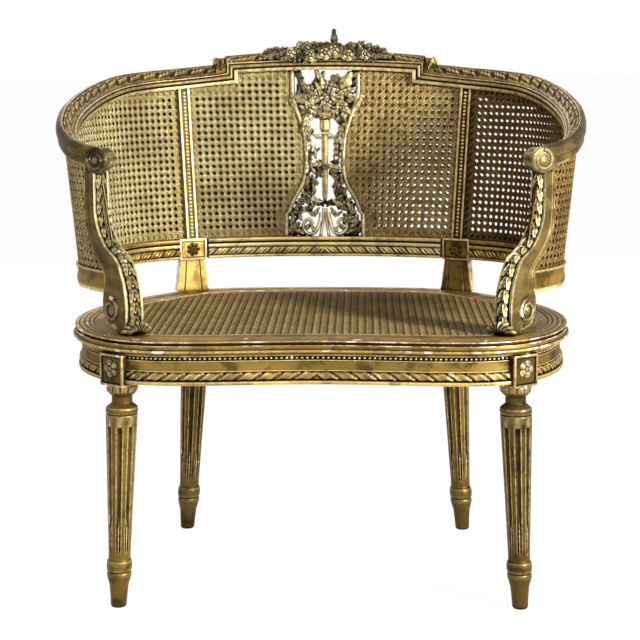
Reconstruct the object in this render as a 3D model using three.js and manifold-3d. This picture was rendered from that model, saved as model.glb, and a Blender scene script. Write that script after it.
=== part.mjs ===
// A gilded tub armchair with a caned seat and a double caned back that wraps round the sitter.
// Millimetres, +Z up. The front faces -Y and the origin is on the floor under the middle of the chair.
// The right-hand pieces (+X) are modelled and the left-hand ones are their mirror images.

import * as THREE from 'three';
import { mergeVertices } from 'three/addons/utils/BufferGeometryUtils.js';
import Module from 'manifold-3d';

const wasm = await Module();
wasm.setup();

// Fits
const clearance = 0.3;
const overrun = 3;

// Seat: the outline of its rim, with a gentle hollow in the front
const seatWidth = 800;
const seatDepth = 581;
const seatHeight = 430;
const seatFront = 314;
const seatOutlineShares = [
  [0, 0.024], [0.225, 0.014], [0.4625, 0], [0.655, 0.007], [0.785, 0.048], [0.8875, 0.124], [0.965, 0.239],
  [1, 0.389], [0.9775, 0.54], [0.905, 0.678], [0.795, 0.79], [0.655, 0.904], [0.5225, 0.962],
  [0.275, 0.993], [0, 1],
];

// Seat rim, the caned frame on top of the seat rails
const rimWidth = 68;
const rimThickness = 25.5;
const rimEdgeRadius = 3;
const rimFasciaInset = 3.5;
const rimFasciaHeight = 12;
const rimBeadHeight = 5.5;
const rimRecessInset = 9;
const rimTopDrop = 1.5;
const rimRidgeInset = 14;
const rimRidgeWidth = 16;
const caneRebateWidth = 12;
const caneRebateDepth = 3;
const rimFrontJointShare = 0.175;
const rimRearJointShare = 0.364;

// Seat rails, the carved apron between the legs
const railHeight = 44;
const railInset = 15;
const railThickness = 27;
const pearlHeight = 6.5;
const pearlProud = 4;
const ribbonHeight = 12;
const ribbonProud = 6;
const footFilletHeight = 7;
const footFilletProud = 7;

// Legs: a square block over a turned and fluted taper, set slightly astride
const frontLegShare = 0.1405;
const rearLegShare = 0.3895;
const blockWidth = 48;
const blockInset = 4;
const blockDrop = 6;
const legRadius = 24.7;
const frontLegSplay = 13;
const rearLegSplay = 18;
const rearLegRake = 22;
const fluteCount = 8;
const fluteDepth = 3.2;
const fluteBottomShare = 0.25;
const fluteTopShare = 0.825;
const legProfileShares = [
  [0, 0.43], [0.008, 0.5], [0.06, 0.55], [0.1, 0.605], [0.125, 0.7], [0.146, 0.785], [0.158, 0.77], [0.163, 0.72],
  [0.17, 0.79], [0.212, 0.78], [0.226, 0.69], [0.25, 0.695], [0.252, 0.7], [0.82, 0.98], [0.825, 0.985],
  [0.869, 0.995], [0.873, 0.95], [0.88, 1], [0.901, 1], [0.92, 0.65], [0.951, 0.64], [0.976, 1], [1, 1],
];
const seatTenonLength = 14;
const seatTenonWidth = 9;
const seatTenonHeight = 28;

// Corner blocks glued inside the seat frame, behind each leg
const cornerBlockLength = 116;
const cornerBlockDepth = 34;
const cornerBlockHeight = 32;

// Cane
const seatCaneThickness = 2.5;
// The many small holes of the seat weave, gathered into a coarse grid of openings
const seatCaneColumns = 12;
const seatCaneRows = 8;
const seatCaneOpenShare = 0.52;
const seatCaneMargin = 6;
const backCaneThickness = 2;
const backCaneSetIn = 7;

// Back: plan of the low rail and of the top rail, from the middle of the back to the front end of the arm
const lowRailLift = 57;
const lowRailHeight = 35;
const lowRailThickness = 22;
const lowRailProud = 2;
const lowPlanShares = [
  [0, 0.979], [0.1875, 0.976], [0.375, 0.955], [0.595, 0.91], [0.745, 0.85], [0.84, 0.785], [0.9075, 0.678],
  [0.9475, 0.558], [0.96, 0.434], [0.945, 0.33], [0.875, 0.242], [0.7575, 0.155],
];
const topFlare = 24;
const topRake = 60;
const topRise = 388;
const topRailHeight = 36;
const topRailThickness = 32;
const topRailProud = 2.5;
const topPlanShares = [
  [0, 0.961], [0.2005, 0.958], [0.396, 0.941], [0.604, 0.897], [0.741, 0.836], [0.835, 0.763], [0.906, 0.655],
  [0.948, 0.529], [0.96, 0.409], [0.946, 0.318], [0.892, 0.251], [0.7925, 0.193],
];
const topRiseShares = [1, 0.997, 0.985, 0.964, 0.951, 0.936, 0.902, 0.858, 0.812, 0.758, 0.711, 0.683];

// Crest: the middle of the top rail is raised over a stepped shoulder and arched on top
const crestRise = 18;
const crestFall = 8.5;
const crestShoulderShare = 0.2115;
const crestJogShare = 0.173;
const crestJointShare = 0.302;

// Arm end: a roll at the front of each arm
const rollRadius = 20.5;
const rollWidth = 36;
const rollDrop = 2.5;
const rollFlatDepth = 1.5;
const rollTurnDegrees = 27;

// Back posts: flared foot, square block and slim stile
const postShare = 3 / 11;
const postFootWidth = 57;
const postNeckWidth = 43;
const postDepth = 20;
const postBlockWidth = 50;
const postBlockProud = 3;
const postBlockHeight = 38;
const stileWidth = 20;
const postTenonWidth = 16;
const postTenonDepth = 9;
const postTenonLength = 40;
const topTenonLength = 14;
const railTenonLength = 9;
const railTenonWidth = 8;
const railTenonHeight = 16;

// Arm supports: an S-shaped plank that stands across the corner of the seat
const supportTurnDegrees = 48;
const supportWidth = 33;
const supportTaper = 6;
const supportSideStep = 22;
const supportReach = 102;
const supportFrontShares = [
  [0, 0], [-0.02, 0.04], [-0.035, 0.1], [-0.04, 0.17], [-0.01, 0.27], [0.07, 0.37], [0.2, 0.46], [0.47, 0.532],
  [0.66, 0.63], [0.745, 0.73], [0.755, 0.85], [0.755, 1],
];
const supportRearShares = [
  [1, 1], [1, 0.73], [0.96, 0.617], [0.845, 0.53], [0.68, 0.448], [0.53, 0.36], [0.545, 0.25],
  [0.57, 0.175], [0.52, 0.09], [0.4, 0.045], [0.25, 0.055], [0.2, 0],
];
const supportTenonLength = 38;
const supportTenonWidth = 12;
const supportTenonDepth = 14;
const armTenonLength = 14;

// Splat: a pierced hourglass between two slim mouldings
const splatThickness = 15;
const splatHalfWidth = 73;
const splatMoulding = 7;
const splatEdgeShares = [
  [0, 1], [0.14, 1], [0.145, 0.93], [0.22, 0.83], [0.3, 0.62], [0.36, 0.53], [0.42, 0.5], [0.52, 0.51],
  [0.6, 0.54], [0.68, 0.63], [0.75, 0.74], [0.82, 0.85], [0.88, 0.87], [1, 0.87],
];
const torchWidth = 9;
const torchTopShare = 0.67;
const torchBottomShare = 0.19;
const cupWidth = 50;
const cupHeight = 30;
const scrollRadius = 16;
const scrollBand = 6;
const scrollHeight = 22;
const leafLength = 40;
const leafWidth = 20;
const leafThickness = 12;
const budSize = 17;
// Bouquet above the cup: across in half widths, height share, size in leaves, turn in degrees
const bouquetShares = [
  [-0.42, 0.745, 0.9, 150], [0.4, 0.745, 0.9, 30], [-0.2, 0.76, 0.9, 110], [0.22, 0.77, 0.9, 65],
  [0, 0.8, 1, 90], [-0.45, 0.83, 0.8, 140], [0.45, 0.85, 1, 60], [-0.2, 0.87, 0.8, 100], [0.1, 0.89, 0.8, 85],
  [-0.62, 0.93, 0.8, 130], [-0.08, 0.95, 0.8, 110], [0.62, 0.95, 0.8, 50], [0.75, 0.8, 0.7, 15],
  [-0.76, 0.8, 0.7, 165],
];
// Husk garlands that hang from the cup round the waist to the foot of the torch
const huskShares = [
  [0.3, 0.67], [0.34, 0.615], [0.36, 0.56], [0.35, 0.505], [0.33, 0.45], [0.34, 0.395], [0.33, 0.34],
  [0.28, 0.285], [0.18, 0.235], [0.07, 0.21],
];
const huskLength = 22;
const huskWidth = 11;
const bowShare = 0.4;
const bowWidth = 26;
const bowHeight = 12;
const cornerLeafShares = [[0.7, 0.075, 25], [0.5, 0.19, 130], [0.78, 0.13, 170], [0.2, 0.06, 100]];

// Crest garland: across in garland lengths, height in garland heights, turn in degrees
const garlandLength = 86;
const garlandHeight = 22;
const garlandDepth = 17;
const garlandLeaf = 30;
const finialHeight = 26.5;
const finialWidth = 14;
const finialAcross = 17;
const garlandShares = [
  [-0.86, 0.05, 20], [-0.68, 0.3, 35], [-0.5, 0.55, 60], [-0.3, 0.35, 150], [-0.12, 0.65, 20], [0.08, 0.7, 160],
  [0.28, 0.5, 10], [0.48, 0.7, 120], [0.68, 0.42, 150], [0.88, 0.3, 130], [1.02, 0.02, 160], [-1, -0.1, 10],
];

// Rosettes on the blocks
const rosetteRadius = 10;
const rosetteDepth = 3.5;
const rosettePetals = 5;
const rosetteDishShare = 0.22;

// Facets
const legSegments = 24;
const rimSteps = 22;
const sideSteps = 14;
const rearSteps = 16;
const crestSteps = 14;
const shoulderSteps = 4;
const caneSteps = 8;
const armSteps = 15;
const curveSteps = 2;
const rollSegments = 20;
const rosetteSegments = 20;

// Finishes
const paleGold = { color: 0xb8913f, roughness: 0.42, metalness: 0.75 };
const deepGold = { color: 0x8c6a2a, roughness: 0.5, metalness: 0.7 };
const wornGold = { color: 0x77683a, roughness: 0.6, metalness: 0.55 };
const rawBeech = { color: 0xa98458, roughness: 0.75, metalness: 0 };
const seatCaneTone = { color: 0x7d6a42, roughness: 0.7, metalness: 0.1 };
const backCaneTone = { color: 0xa98a45, roughness: 0.6, metalness: 0.3 };

// Derived heights
const rimBottom = seatHeight - rimThickness;
const railTop = rimBottom - clearance;
const railBottom = railTop - railHeight;
const legHeight = railBottom - blockDrop;
const lowRailBottom = seatHeight + lowRailLift;
const lowRailMiddle = lowRailBottom + lowRailHeight / 2;
const lowRailTop = lowRailBottom + lowRailHeight;
const up = new THREE.Vector3(0, 0, 1);

// Solids: closed meshes in and out of the boolean library
function solidOf(geometry) {
  const bare = geometry.clone();
  bare.deleteAttribute('normal');
  bare.deleteAttribute('uv');
  const merged = mergeVertices(bare, clearance / 1000);
  const mesh = new wasm.Mesh({
    numProp: 3,
    vertProperties: Float32Array.from(merged.attributes.position.array),
    triVerts: Uint32Array.from(merged.index.array),
  });
  return new wasm.Manifold(mesh);
}

function geometryOf(solid) {
  const mesh = solid.getMesh();
  const geometry = new THREE.BufferGeometry();
  geometry.setAttribute('position', new THREE.BufferAttribute(Float32Array.from(mesh.vertProperties), 3));
  geometry.setIndex(new THREE.BufferAttribute(Uint32Array.from(mesh.triVerts), 1));
  geometry.computeVertexNormals();
  return geometry;
}

function join(solids) {
  return solids.reduce((whole, solid) => whole.add(solid));
}

function cut(solid, cutters) {
  return cutters.reduce((rest, cutter) => rest.subtract(cutter), solid);
}

function polygon(points) {
  return new THREE.Shape(points.map(([x, y]) => new THREE.Vector2(x, y)));
}

// Sweeps a section by moving each vertex of a straight extrusion: place(run, x, y) gives its point
function bend(section, steps, place) {
  const geometry = new THREE.ExtrudeGeometry(section, { depth: 1, steps, bevelEnabled: false });
  return moved(geometry, (vertex) => place(vertex.z, vertex.x, vertex.y));
}

function moved(geometry, place) {
  const position = geometry.attributes.position;
  const vertex = new THREE.Vector3();
  for (let i = 0; i < position.count; i += 1) {
    vertex.fromBufferAttribute(position, i);
    position.setXYZ(i, ...place(vertex).toArray());
  }
  return geometry;
}

// A box in a local frame: its middle, its axes along, out and up, and its three sizes
function framedBox(frame, middle, size, grow = 0) {
  const [along, out, high] = size.map((length) => length + 2 * grow);
  const geometry = new THREE.BoxGeometry(along, out, high);
  const across = new THREE.Vector3().crossVectors(up, frame.along);
  const matrix = new THREE.Matrix4().makeBasis(frame.along, across, up);
  const [moveAlong, moveOut, height] = middle;
  const centre = frame.origin.clone().addScaledVector(frame.along, moveAlong).addScaledVector(frame.out, moveOut);
  matrix.setPosition(centre.x, centre.y, height);
  return solidOf(geometry.applyMatrix4(matrix));
}

function mirroredList(points) {
  const left = points.slice(1).reverse().map((point) => new THREE.Vector3(-point.x, point.y, point.z));
  return [...left, ...points];
}

// Seat outline, once round from the middle of the front by way of the right-hand side
const seatPoints = seatOutlineShares.map(([widthShare, depthShare]) => new THREE.Vector3(
  widthShare * seatWidth / 2,
  depthShare * seatDepth - seatFront,
  0,
));
const seatLoop = new THREE.CatmullRomCurve3(
  [...seatPoints, ...mirroredList(seatPoints).slice(1, seatPoints.length - 1)],
  true,
);
seatLoop.arcLengthDivisions = 600;

function seatFrame(share) {
  const at = ((share % 1) + 1) % 1;
  const origin = seatLoop.getPointAt(at);
  const along = seatLoop.getTangentAt(at).normalize();
  const out = new THREE.Vector3(along.y, -along.x, 0);
  return { origin, along, out };
}

// Sweeps a section of insets and heights along the seat outline
function alongSeat(section, from, to, steps) {
  return solidOf(bend(section, steps, (run, inset, height) => {
    const frame = seatFrame(from + (to - from) * run);
    return frame.origin.addScaledVector(frame.out, -inset).setZ(height);
  }));
}

// Cuts the whole loop into pieces at the same shares as the facets of the pieces beside it
function loopShares(frontShare, rearShare) {
  const stretch = (from, to, steps) => Array.from({ length: steps }, (_, i) => from + ((to - from) * i) / steps);
  return [
    ...stretch(-frontShare, frontShare, rimSteps),
    ...stretch(frontShare, rearShare, sideSteps),
    ...stretch(rearShare, 1 - rearShare, rearSteps),
    ...stretch(1 - rearShare, 1 - frontShare, sideSteps),
  ];
}

function seatSlab(shares, inset, bottom, top) {
  const outline = shares.map((share) => {
    const frame = seatFrame(share);
    const point = frame.origin.addScaledVector(frame.out, -inset);
    return [point.x, point.y];
  });
  const geometry = new THREE.ExtrudeGeometry(polygon(outline), { depth: top - bottom, bevelEnabled: false });
  return geometry.translate(0, 0, bottom);
}

// Back plans: run goes from -1 at the left arm through 0 at the middle to 1 at the right arm
const lowCurve = new THREE.CatmullRomCurve3(mirroredList(lowPlanShares.map(([widthShare, depthShare]) => (
  new THREE.Vector3(widthShare * seatWidth / 2, depthShare * seatDepth - seatFront, lowRailMiddle)
))));
const topCurve = new THREE.CatmullRomCurve3(mirroredList(topPlanShares.map(([widthShare, depthShare], i) => (
  new THREE.Vector3(
    widthShare * (seatWidth / 2 + topFlare),
    depthShare * (seatDepth + topRake) - seatFront,
    seatHeight + topRise * topRiseShares[i],
  )
))));

function curveFrame(curve, run) {
  const at = (run + 1) / 2;
  const origin = curve.getPoint(at);
  const along = curve.getTangent(at).setZ(0).normalize();
  const out = new THREE.Vector3(-along.y, along.x, 0);
  return { origin, along, out };
}

function wrapPoint(run, share, outward) {
  const low = curveFrame(lowCurve, run);
  const top = curveFrame(topCurve, run);
  const point = low.origin.lerp(top.origin, share);
  return point.addScaledVector(low.out.lerp(top.out, share).normalize(), outward);
}

function shareAtHeight(run, height) {
  const top = topCurve.getPoint((run + 1) / 2).z;
  return (height - lowRailMiddle) / (top - lowRailMiddle);
}

// Sweeps a section of outward distances and heights along a back curve
function alongBack(section, curve, from, to, steps, lift = 0, fall = 0) {
  return solidOf(bend(section, steps, (run, outward, height) => {
    const at = from + (to - from) * run;
    const frame = curveFrame(curve, at);
    const drop = height > 0 ? fall * (at / to) ** 2 : 0;
    return frame.origin.addScaledVector(frame.out, outward).add(new THREE.Vector3(0, 0, height + lift - drop));
  }));
}

// Legs
function legBlockFrame(share) {
  const frame = seatFrame(share);
  frame.origin.addScaledVector(frame.out, -(blockInset + blockWidth / 2));
  return frame;
}

function legBlock(frame, grow = 0) {
  const height = railTop - legHeight;
  return framedBox(frame, [0, 0, legHeight + height / 2], [blockWidth, blockWidth, height], grow);
}

function turnedLeg(frame, splay, rake) {
  const profile = legProfileShares.map(([heightShare, radiusShare]) => (
    new THREE.Vector2(radiusShare * legRadius, heightShare * legHeight)
  ));
  profile.unshift(new THREE.Vector2(0, 0));
  profile.push(new THREE.Vector2(0, legHeight));
  const turned = new THREE.LatheGeometry(profile, legSegments).rotateX(Math.PI / 2);
  return solidOf(moved(turned, (vertex) => {
    const share = vertex.z / legHeight;
    const angle = Math.atan2(vertex.y, vertex.x);
    const fluted = share > fluteBottomShare && share < fluteTopShare && Math.cos(fluteCount * angle) > 0.9;
    const radius = Math.hypot(vertex.x, vertex.y) - (fluted ? fluteDepth : 0);
    return new THREE.Vector3(
      frame.origin.x + radius * Math.cos(angle) + splay * (1 - share),
      frame.origin.y + radius * Math.sin(angle) - rake * (1 - share),
      vertex.z,
    );
  }));
}

// Tenons of the two seat rails that meet in a leg block: side is 1 towards the rear of the chair
function seatTenon(frame, side, grow = 0) {
  const length = seatTenonLength + seatTenonWidth;
  const middle = side * (blockWidth / 2 - seatTenonLength + length / 2);
  return framedBox(
    frame,
    [middle, 0, railTop - railHeight / 2],
    [length, seatTenonWidth, seatTenonHeight],
    grow,
  );
}

// Arm support: profile in its own plane, which stands across the corner of the seat. It ends under the roll
// of the arm, which has a shallow flat cut in it there.
const armEnd = topCurve.getPoint(1);
const supportHeight = armEnd.z - rollDrop - rollRadius + rollFlatDepth - clearance - (seatHeight + clearance);
const frontBlock = legBlockFrame(frontLegShare);
const rearBlock = legBlockFrame(rearLegShare);
const supportTurn = THREE.MathUtils.degToRad(supportTurnDegrees);
const supportFrame = {
  out: new THREE.Vector3(Math.sin(supportTurn), -Math.cos(supportTurn), 0),
  along: new THREE.Vector3(Math.cos(supportTurn), Math.sin(supportTurn), 0),
};
supportFrame.origin = frontBlock.origin.clone().addScaledVector(supportFrame.out, -supportSideStep);

function supportProfile(shares) {
  const points = shares.map(([reachShare, heightShare]) => new THREE.Vector3(
    reachShare * supportReach,
    heightShare * supportHeight,
    0,
  ));
  return new THREE.CatmullRomCurve3(points).getPoints(curveSteps * (points.length - 1)).map((point) => (
    [point.x, point.y]
  ));
}
const supportFront = supportProfile(supportFrontShares);
const supportRear = supportProfile(supportRearShares);

function supportPlank(outline, width) {
  const geometry = new THREE.ExtrudeGeometry(polygon(outline), { depth: width, bevelEnabled: false });
  geometry.translate(0, 0, -width / 2);
  const base = seatHeight + clearance;
  return solidOf(moved(geometry, (vertex) => {
    const taper = vertex.z < 0 ? supportTaper * (vertex.y / supportHeight) : 0;
    return supportFrame.origin.clone()
      .addScaledVector(supportFrame.along, vertex.x)
      .addScaledVector(supportFrame.out, vertex.z + taper)
      .setZ(base + vertex.y);
  }));
}

// Everything in front of the rear edge of the support, for trimming what butts against it
function supportTrimmer() {
  const rear = supportRear.map(([reach, height]) => [reach + 2 * clearance, height]);
  const top = supportHeight + rollRadius;
  const outline = [[-supportReach, 0], [-supportReach, top], [rear[0][0], top], ...rear];
  return supportPlank(outline, 3 * supportWidth);
}

function supportFootTenon(grow = 0) {
  const length = supportTenonLength + supportTenonWidth;
  const middleOut = supportSideStep - blockWidth / 2 + supportTenonWidth;
  return framedBox(
    supportFrame,
    [supportTenonDepth / 2 + overrun, middleOut, seatHeight - supportTenonLength + length / 2],
    [supportTenonDepth, supportTenonWidth, length],
    grow,
  );
}

const supportTop = seatHeight + clearance + supportHeight;
function supportHeadCutter() {
  const length = armTenonLength;
  const middle = supportTop + clearance - length / 2;
  return framedBox(supportFrame, [supportReach, 0, middle], [supportReach, 3 * supportWidth, length]);
}

function supportHeadTenon(grow = 0) {
  const length = armTenonLength + supportTenonWidth;
  return framedBox(
    supportFrame,
    [supportReach * 0.88, 0, supportTop + armTenonLength - length / 2],
    [supportTenonDepth, supportTenonWidth, length],
    grow,
  );
}

// Back posts stand on the rim at one run of the low curve and lean with the back
const postLow = curveFrame(lowCurve, postShare);
const postHigh = curveFrame(topCurve, postShare);
const postBlockBottom = lowRailMiddle - postBlockHeight / 2;

function postBlock(grow = 0) {
  return framedBox(
    postLow,
    [0, 0, lowRailMiddle],
    [postBlockWidth, lowRailThickness + 2 * postBlockProud, postBlockHeight],
    grow,
  );
}

function postFoot() {
  const bottom = seatHeight + clearance;
  const top = postBlockBottom + overrun;
  const shape = polygon([
    [-postFootWidth / 2, bottom], [postFootWidth / 2, bottom],
    [postNeckWidth / 2, top], [-postNeckWidth / 2, top],
  ]);
  const geometry = new THREE.ExtrudeGeometry(shape, { depth: postDepth, bevelEnabled: false });
  geometry.translate(0, 0, -postDepth / 2);
  return solidOf(moved(geometry, (vertex) => postLow.origin.clone()
    .addScaledVector(postLow.along, vertex.x)
    .addScaledVector(postLow.out, -vertex.z)
    .setZ(vertex.y)));
}

const topRailBottomAtPost = postHigh.origin.z - topRailHeight / 2;
function postStile(grow = 0) {
  const width = stileWidth / 2 + grow;
  const depth = lowRailThickness / 2 + grow;
  const section = polygon([
    [-width, -depth], [-width * 0.45, -depth - grow], [-width * 0.3, -depth - lowRailProud],
    [width * 0.3, -depth - lowRailProud], [width * 0.45, -depth - grow], [width, -depth], [width, depth],
    [-width, depth],
  ]);
  const from = shareAtHeight(postShare, lowRailMiddle);
  const to = shareAtHeight(postShare, topRailBottomAtPost + overrun);
  return solidOf(bend(section, 2, (run, across, outward) => (
    wrapPoint(postShare, from + (to - from) * run, outward).addScaledVector(postLow.along, across)
  )));
}

function postFootTenon(grow = 0) {
  const length = postTenonLength + postTenonDepth;
  return framedBox(
    postLow,
    [0, -(postDepth - postTenonDepth) / 2, seatHeight - postTenonLength + length / 2],
    [postTenonWidth, postTenonDepth, length],
    grow,
  );
}

function postHeadTenon(grow = 0) {
  const length = topTenonLength + postTenonDepth;
  return framedBox(
    postHigh,
    [0, 0, topRailBottomAtPost + topTenonLength - length / 2],
    [stileWidth / 2, postTenonDepth, length],
    grow,
  );
}

// Tenons of the low rails in the post block: side is 1 towards the arm
function lowRailTenon(side, grow = 0) {
  const length = railTenonLength + railTenonWidth;
  const middle = side * (postBlockWidth / 2 - railTenonLength + length / 2);
  return framedBox(postLow, [middle, 0, lowRailMiddle], [length, railTenonWidth, railTenonHeight], grow);
}

// Sections
function rimSection() {
  const shoulder = seatHeight - rimTopDrop;
  const beadTop = seatHeight - rimEdgeRadius - rimFasciaHeight;
  const rebate = rimWidth - caneRebateWidth;
  return polygon([
    [rimWidth, rimBottom], [rimRecessInset, rimBottom], [rimRecessInset, beadTop - rimBeadHeight],
    [rimEdgeRadius / 3, beadTop - rimBeadHeight * 0.9], [0, beadTop - rimBeadHeight / 2],
    [rimEdgeRadius / 3, beadTop - rimBeadHeight * 0.1], [rimFasciaInset, beadTop],
    [rimFasciaInset, seatHeight - rimEdgeRadius], [rimFasciaInset + rimEdgeRadius, shoulder],
    [rimRidgeInset, shoulder], [rimRidgeInset + rimTopDrop, seatHeight],
    [rimRidgeInset + rimRidgeWidth, seatHeight], [rimRidgeInset + rimRidgeWidth + rimTopDrop, shoulder],
    [rebate, shoulder], [rebate, shoulder - caneRebateDepth], [rimWidth, shoulder - caneRebateDepth],
  ]);
}

function railSection() {
  const ribbonBottom = railBottom + footFilletHeight;
  const ribbonTop = ribbonBottom + ribbonHeight;
  const pearlBottom = railTop - pearlHeight;
  return polygon([
    [railInset + railThickness, railTop], [railInset + railThickness, railBottom],
    [railInset - footFilletProud, railBottom], [railInset - footFilletProud, ribbonBottom],
    [railInset - ribbonProud / 2, ribbonBottom], [railInset - ribbonProud, ribbonBottom + ribbonHeight * 0.3],
    [railInset - ribbonProud, ribbonBottom + ribbonHeight * 0.7], [railInset - ribbonProud / 3, ribbonTop],
    [railInset, ribbonTop], [railInset, pearlBottom], [railInset - pearlProud, pearlBottom + pearlHeight / 3],
    [railInset - pearlProud, railTop],
  ]);
}

function lowRailSection() {
  const face = lowRailThickness / 2;
  const high = lowRailHeight / 2;
  return polygon([
    [-face, -high], [-face, -high * 0.7], [-face + lowRailProud, -high * 0.6], [-face - lowRailProud / 2, -high * 0.2],
    [-face + lowRailProud, high * 0.2], [-face, high * 0.3], [-face + lowRailProud, high * 0.5],
    [-face + lowRailProud, high * 0.7], [-face, high * 0.75], [-face, high], [face, high], [face, high * 0.9],
    [face - lowRailProud, high * 0.7], [face - lowRailProud, -high * 0.6], [face - 2 * lowRailProud, -high],
  ].reverse());
}

function topRailSection(grow = 0) {
  const face = topRailThickness / 2 + grow;
  const high = topRailHeight / 2 + grow;
  return polygon([
    [-face, -high], [face * 0.65, -high], [face - topRailProud, -high * 0.7], [face - topRailProud, -high * 0.5],
    [face - topRailProud, 0], [face + topRailProud, high * 0.35], [face, high * 0.8], [face * 0.5, high],
    [-face * 0.5, high], [-face - topRailProud, high * 0.6], [-face - topRailProud, 0],
    [-face + topRailProud * 1.5, -high * 0.2], [-face + topRailProud, -high * 0.7], [-face, -high * 0.75],
  ]);
}

// Blocky cutter that clears a stretch of the top rail
function topRailCutter(from, to, steps, lift) {
  const face = topRailThickness;
  const high = topRailHeight / 2 + clearance;
  const section = polygon([[-face, -high], [face, -high], [face, high], [-face, high]]);
  return alongBack(section, topCurve, from, to, steps, lift);
}

// Cane panels: a thin sheet on the ruled surface between the low rail and the top rail
function canePanel(from, to, steps, outward, lift) {
  const geometry = new THREE.BoxGeometry(1, 1, 1, steps, 1, 1);
  const bottom = lowRailTop + clearance;
  return solidOf(moved(geometry, (vertex) => {
    const run = from + (to - from) * (vertex.x + 0.5);
    const top = topCurve.getPoint((run + 1) / 2).z + lift - topRailHeight / 2 - clearance;
    const height = bottom + (top - bottom) * (vertex.y + 0.5);
    return wrapPoint(run, shareAtHeight(run, height), outward - vertex.z * backCaneThickness);
  }));
}

// Splat: flat openwork that leans with the back, drawn as across and height
const splatBottom = lowRailTop + clearance;
const splatTop = topCurve.getPoint(0.5).z + crestRise - topRailHeight / 2;
const crestMiddleCutter = topRailCutter(-crestShoulderShare, crestShoulderShare, crestSteps, crestRise);
const splatHeight = splatTop - splatBottom;

function splatPoint(across, depth, height) {
  const low = lowCurve.getPoint(0.5);
  const top = topCurve.getPoint(0.5);
  const lean = (height - low.z) / (top.z - low.z);
  return new THREE.Vector3(across, low.y + (top.y - low.y) * lean + depth, height);
}

function leaning(geometry) {
  return solidOf(moved(geometry, (vertex) => splatPoint(vertex.x, -vertex.z, vertex.y)));
}

function splatStile(side) {
  const edge = splatEdgeShares.map(([heightShare, widthShare]) => (
    [side * widthShare * splatHalfWidth, splatBottom + heightShare * splatHeight]
  ));
  const inner = edge.map(([across, height]) => [across - side * splatMoulding, height]).reverse();
  const geometry = new THREE.ExtrudeGeometry(polygon([...edge, ...inner]), {
    depth: splatThickness,
    bevelEnabled: false,
  });
  return leaning(geometry.translate(0, 0, -splatThickness / 2));
}

// The whole outline of the splat, deepened: grown it trims the cane beside it, and as it is it trims the leaves
function splatShadow(grow) {
  const edge = splatEdgeShares.map(([heightShare, widthShare]) => (
    [widthShare * splatHalfWidth + grow, splatBottom + heightShare * splatHeight]
  ));
  const last = edge.length - 1;
  edge[0][1] -= overrun;
  edge[last][1] += crestRise;
  const left = edge.map(([across, height]) => [-across, height]).reverse();
  const depth = 4 * splatThickness;
  const geometry = new THREE.ExtrudeGeometry(polygon([...edge, ...left]), { depth, bevelEnabled: false });
  return leaning(geometry.translate(0, 0, -depth / 2));
}

function splatBlob(across, height, length, width, thickness, degrees) {
  const geometry = new THREE.OctahedronGeometry(0.5, 1).scale(length, width, thickness);
  geometry.rotateZ(THREE.MathUtils.degToRad(degrees));
  return leaning(geometry.translate(across, height, 0));
}

function splatHeightAt(share) {
  return splatBottom + share * splatHeight;
}

function torch() {
  const bottom = splatHeightAt(torchBottomShare);
  const top = splatHeightAt(torchTopShare);
  const shaft = new THREE.CylinderGeometry(torchWidth / 2, torchWidth / 3, top - bottom, 8);
  shaft.translate(0, (top + bottom) / 2, 0);
  const cupPoints = [[0, 0], [torchWidth * 0.6, 0], [torchWidth, cupHeight * 0.5], [cupWidth / 2, cupHeight * 0.9]];
  cupPoints.push([cupWidth / 2, cupHeight], [0, cupHeight]);
  const cup = new THREE.LatheGeometry(cupPoints.map(([x, y]) => new THREE.Vector2(x, y)), 12);
  cup.scale(1, 1, splatThickness / cupWidth).translate(0, top - overrun, 0);
  return join([leaning(shaft), leaning(cup)]);
}

function splatScroll(side) {
  const ring = new THREE.Shape();
  ring.absarc(0, 0, scrollRadius, 0, 2 * Math.PI);
  const hole = new THREE.Path();
  hole.absarc(0, 0, scrollRadius - scrollBand, 0, 2 * Math.PI, true);
  ring.holes.push(hole);
  const geometry = new THREE.ExtrudeGeometry(ring, { depth: splatThickness, bevelEnabled: false, curveSegments: 7 });
  const middle = side * (scrollRadius + scrollBand * 1.7);
  return leaning(geometry.translate(middle, splatBottom + scrollHeight, -splatThickness / 2));
}

function splat() {
  const pieces = [splatStile(1), splatStile(-1), torch()];
  bouquetShares.forEach(([acrossShare, heightShare, size, degrees]) => {
    pieces.push(splatBlob(
      acrossShare * splatHalfWidth,
      splatHeightAt(heightShare),
      size * leafLength,
      size * leafWidth,
      leafThickness,
      degrees,
    ));
  });
  [1, -1].forEach((side) => {
    pieces.push(splatScroll(side));
    huskShares.forEach(([acrossShare, heightShare], i) => {
      const [nextAcross, nextHeight] = huskShares[Math.min(i + 1, huskShares.length - 1)];
      const slope = Math.atan2(
        (nextHeight - heightShare) * splatHeight - clearance,
        side * (nextAcross - acrossShare) * splatHalfWidth,
      );
      const height = splatHeightAt(heightShare);
      const across = side * acrossShare * splatHalfWidth;
      const degrees = THREE.MathUtils.radToDeg(slope);
      pieces.push(splatBlob(across, height, huskLength, huskWidth, leafThickness, degrees));
    });
    const bow = splatHeightAt(bowShare);
    pieces.push(splatBlob(side * bowWidth * 0.4, bow, bowWidth, bowHeight, leafThickness, side * 20));
    cornerLeafShares.forEach(([acrossShare, heightShare, degrees]) => {
      pieces.push(splatBlob(
        side * acrossShare * splatHalfWidth,
        splatHeightAt(heightShare),
        leafLength,
        leafWidth * 0.8,
        leafThickness,
        side * degrees,
      ));
    });
  });
  const slab = new THREE.BoxGeometry(2 * splatHalfWidth, splatHeight, splatThickness + overrun);
  slab.translate(0, (splatBottom + splatTop) / 2, 0);
  return cut(join(pieces).intersect(leaning(slab)).intersect(splatShadow(0)), [crestMiddleCutter]);
}

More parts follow.
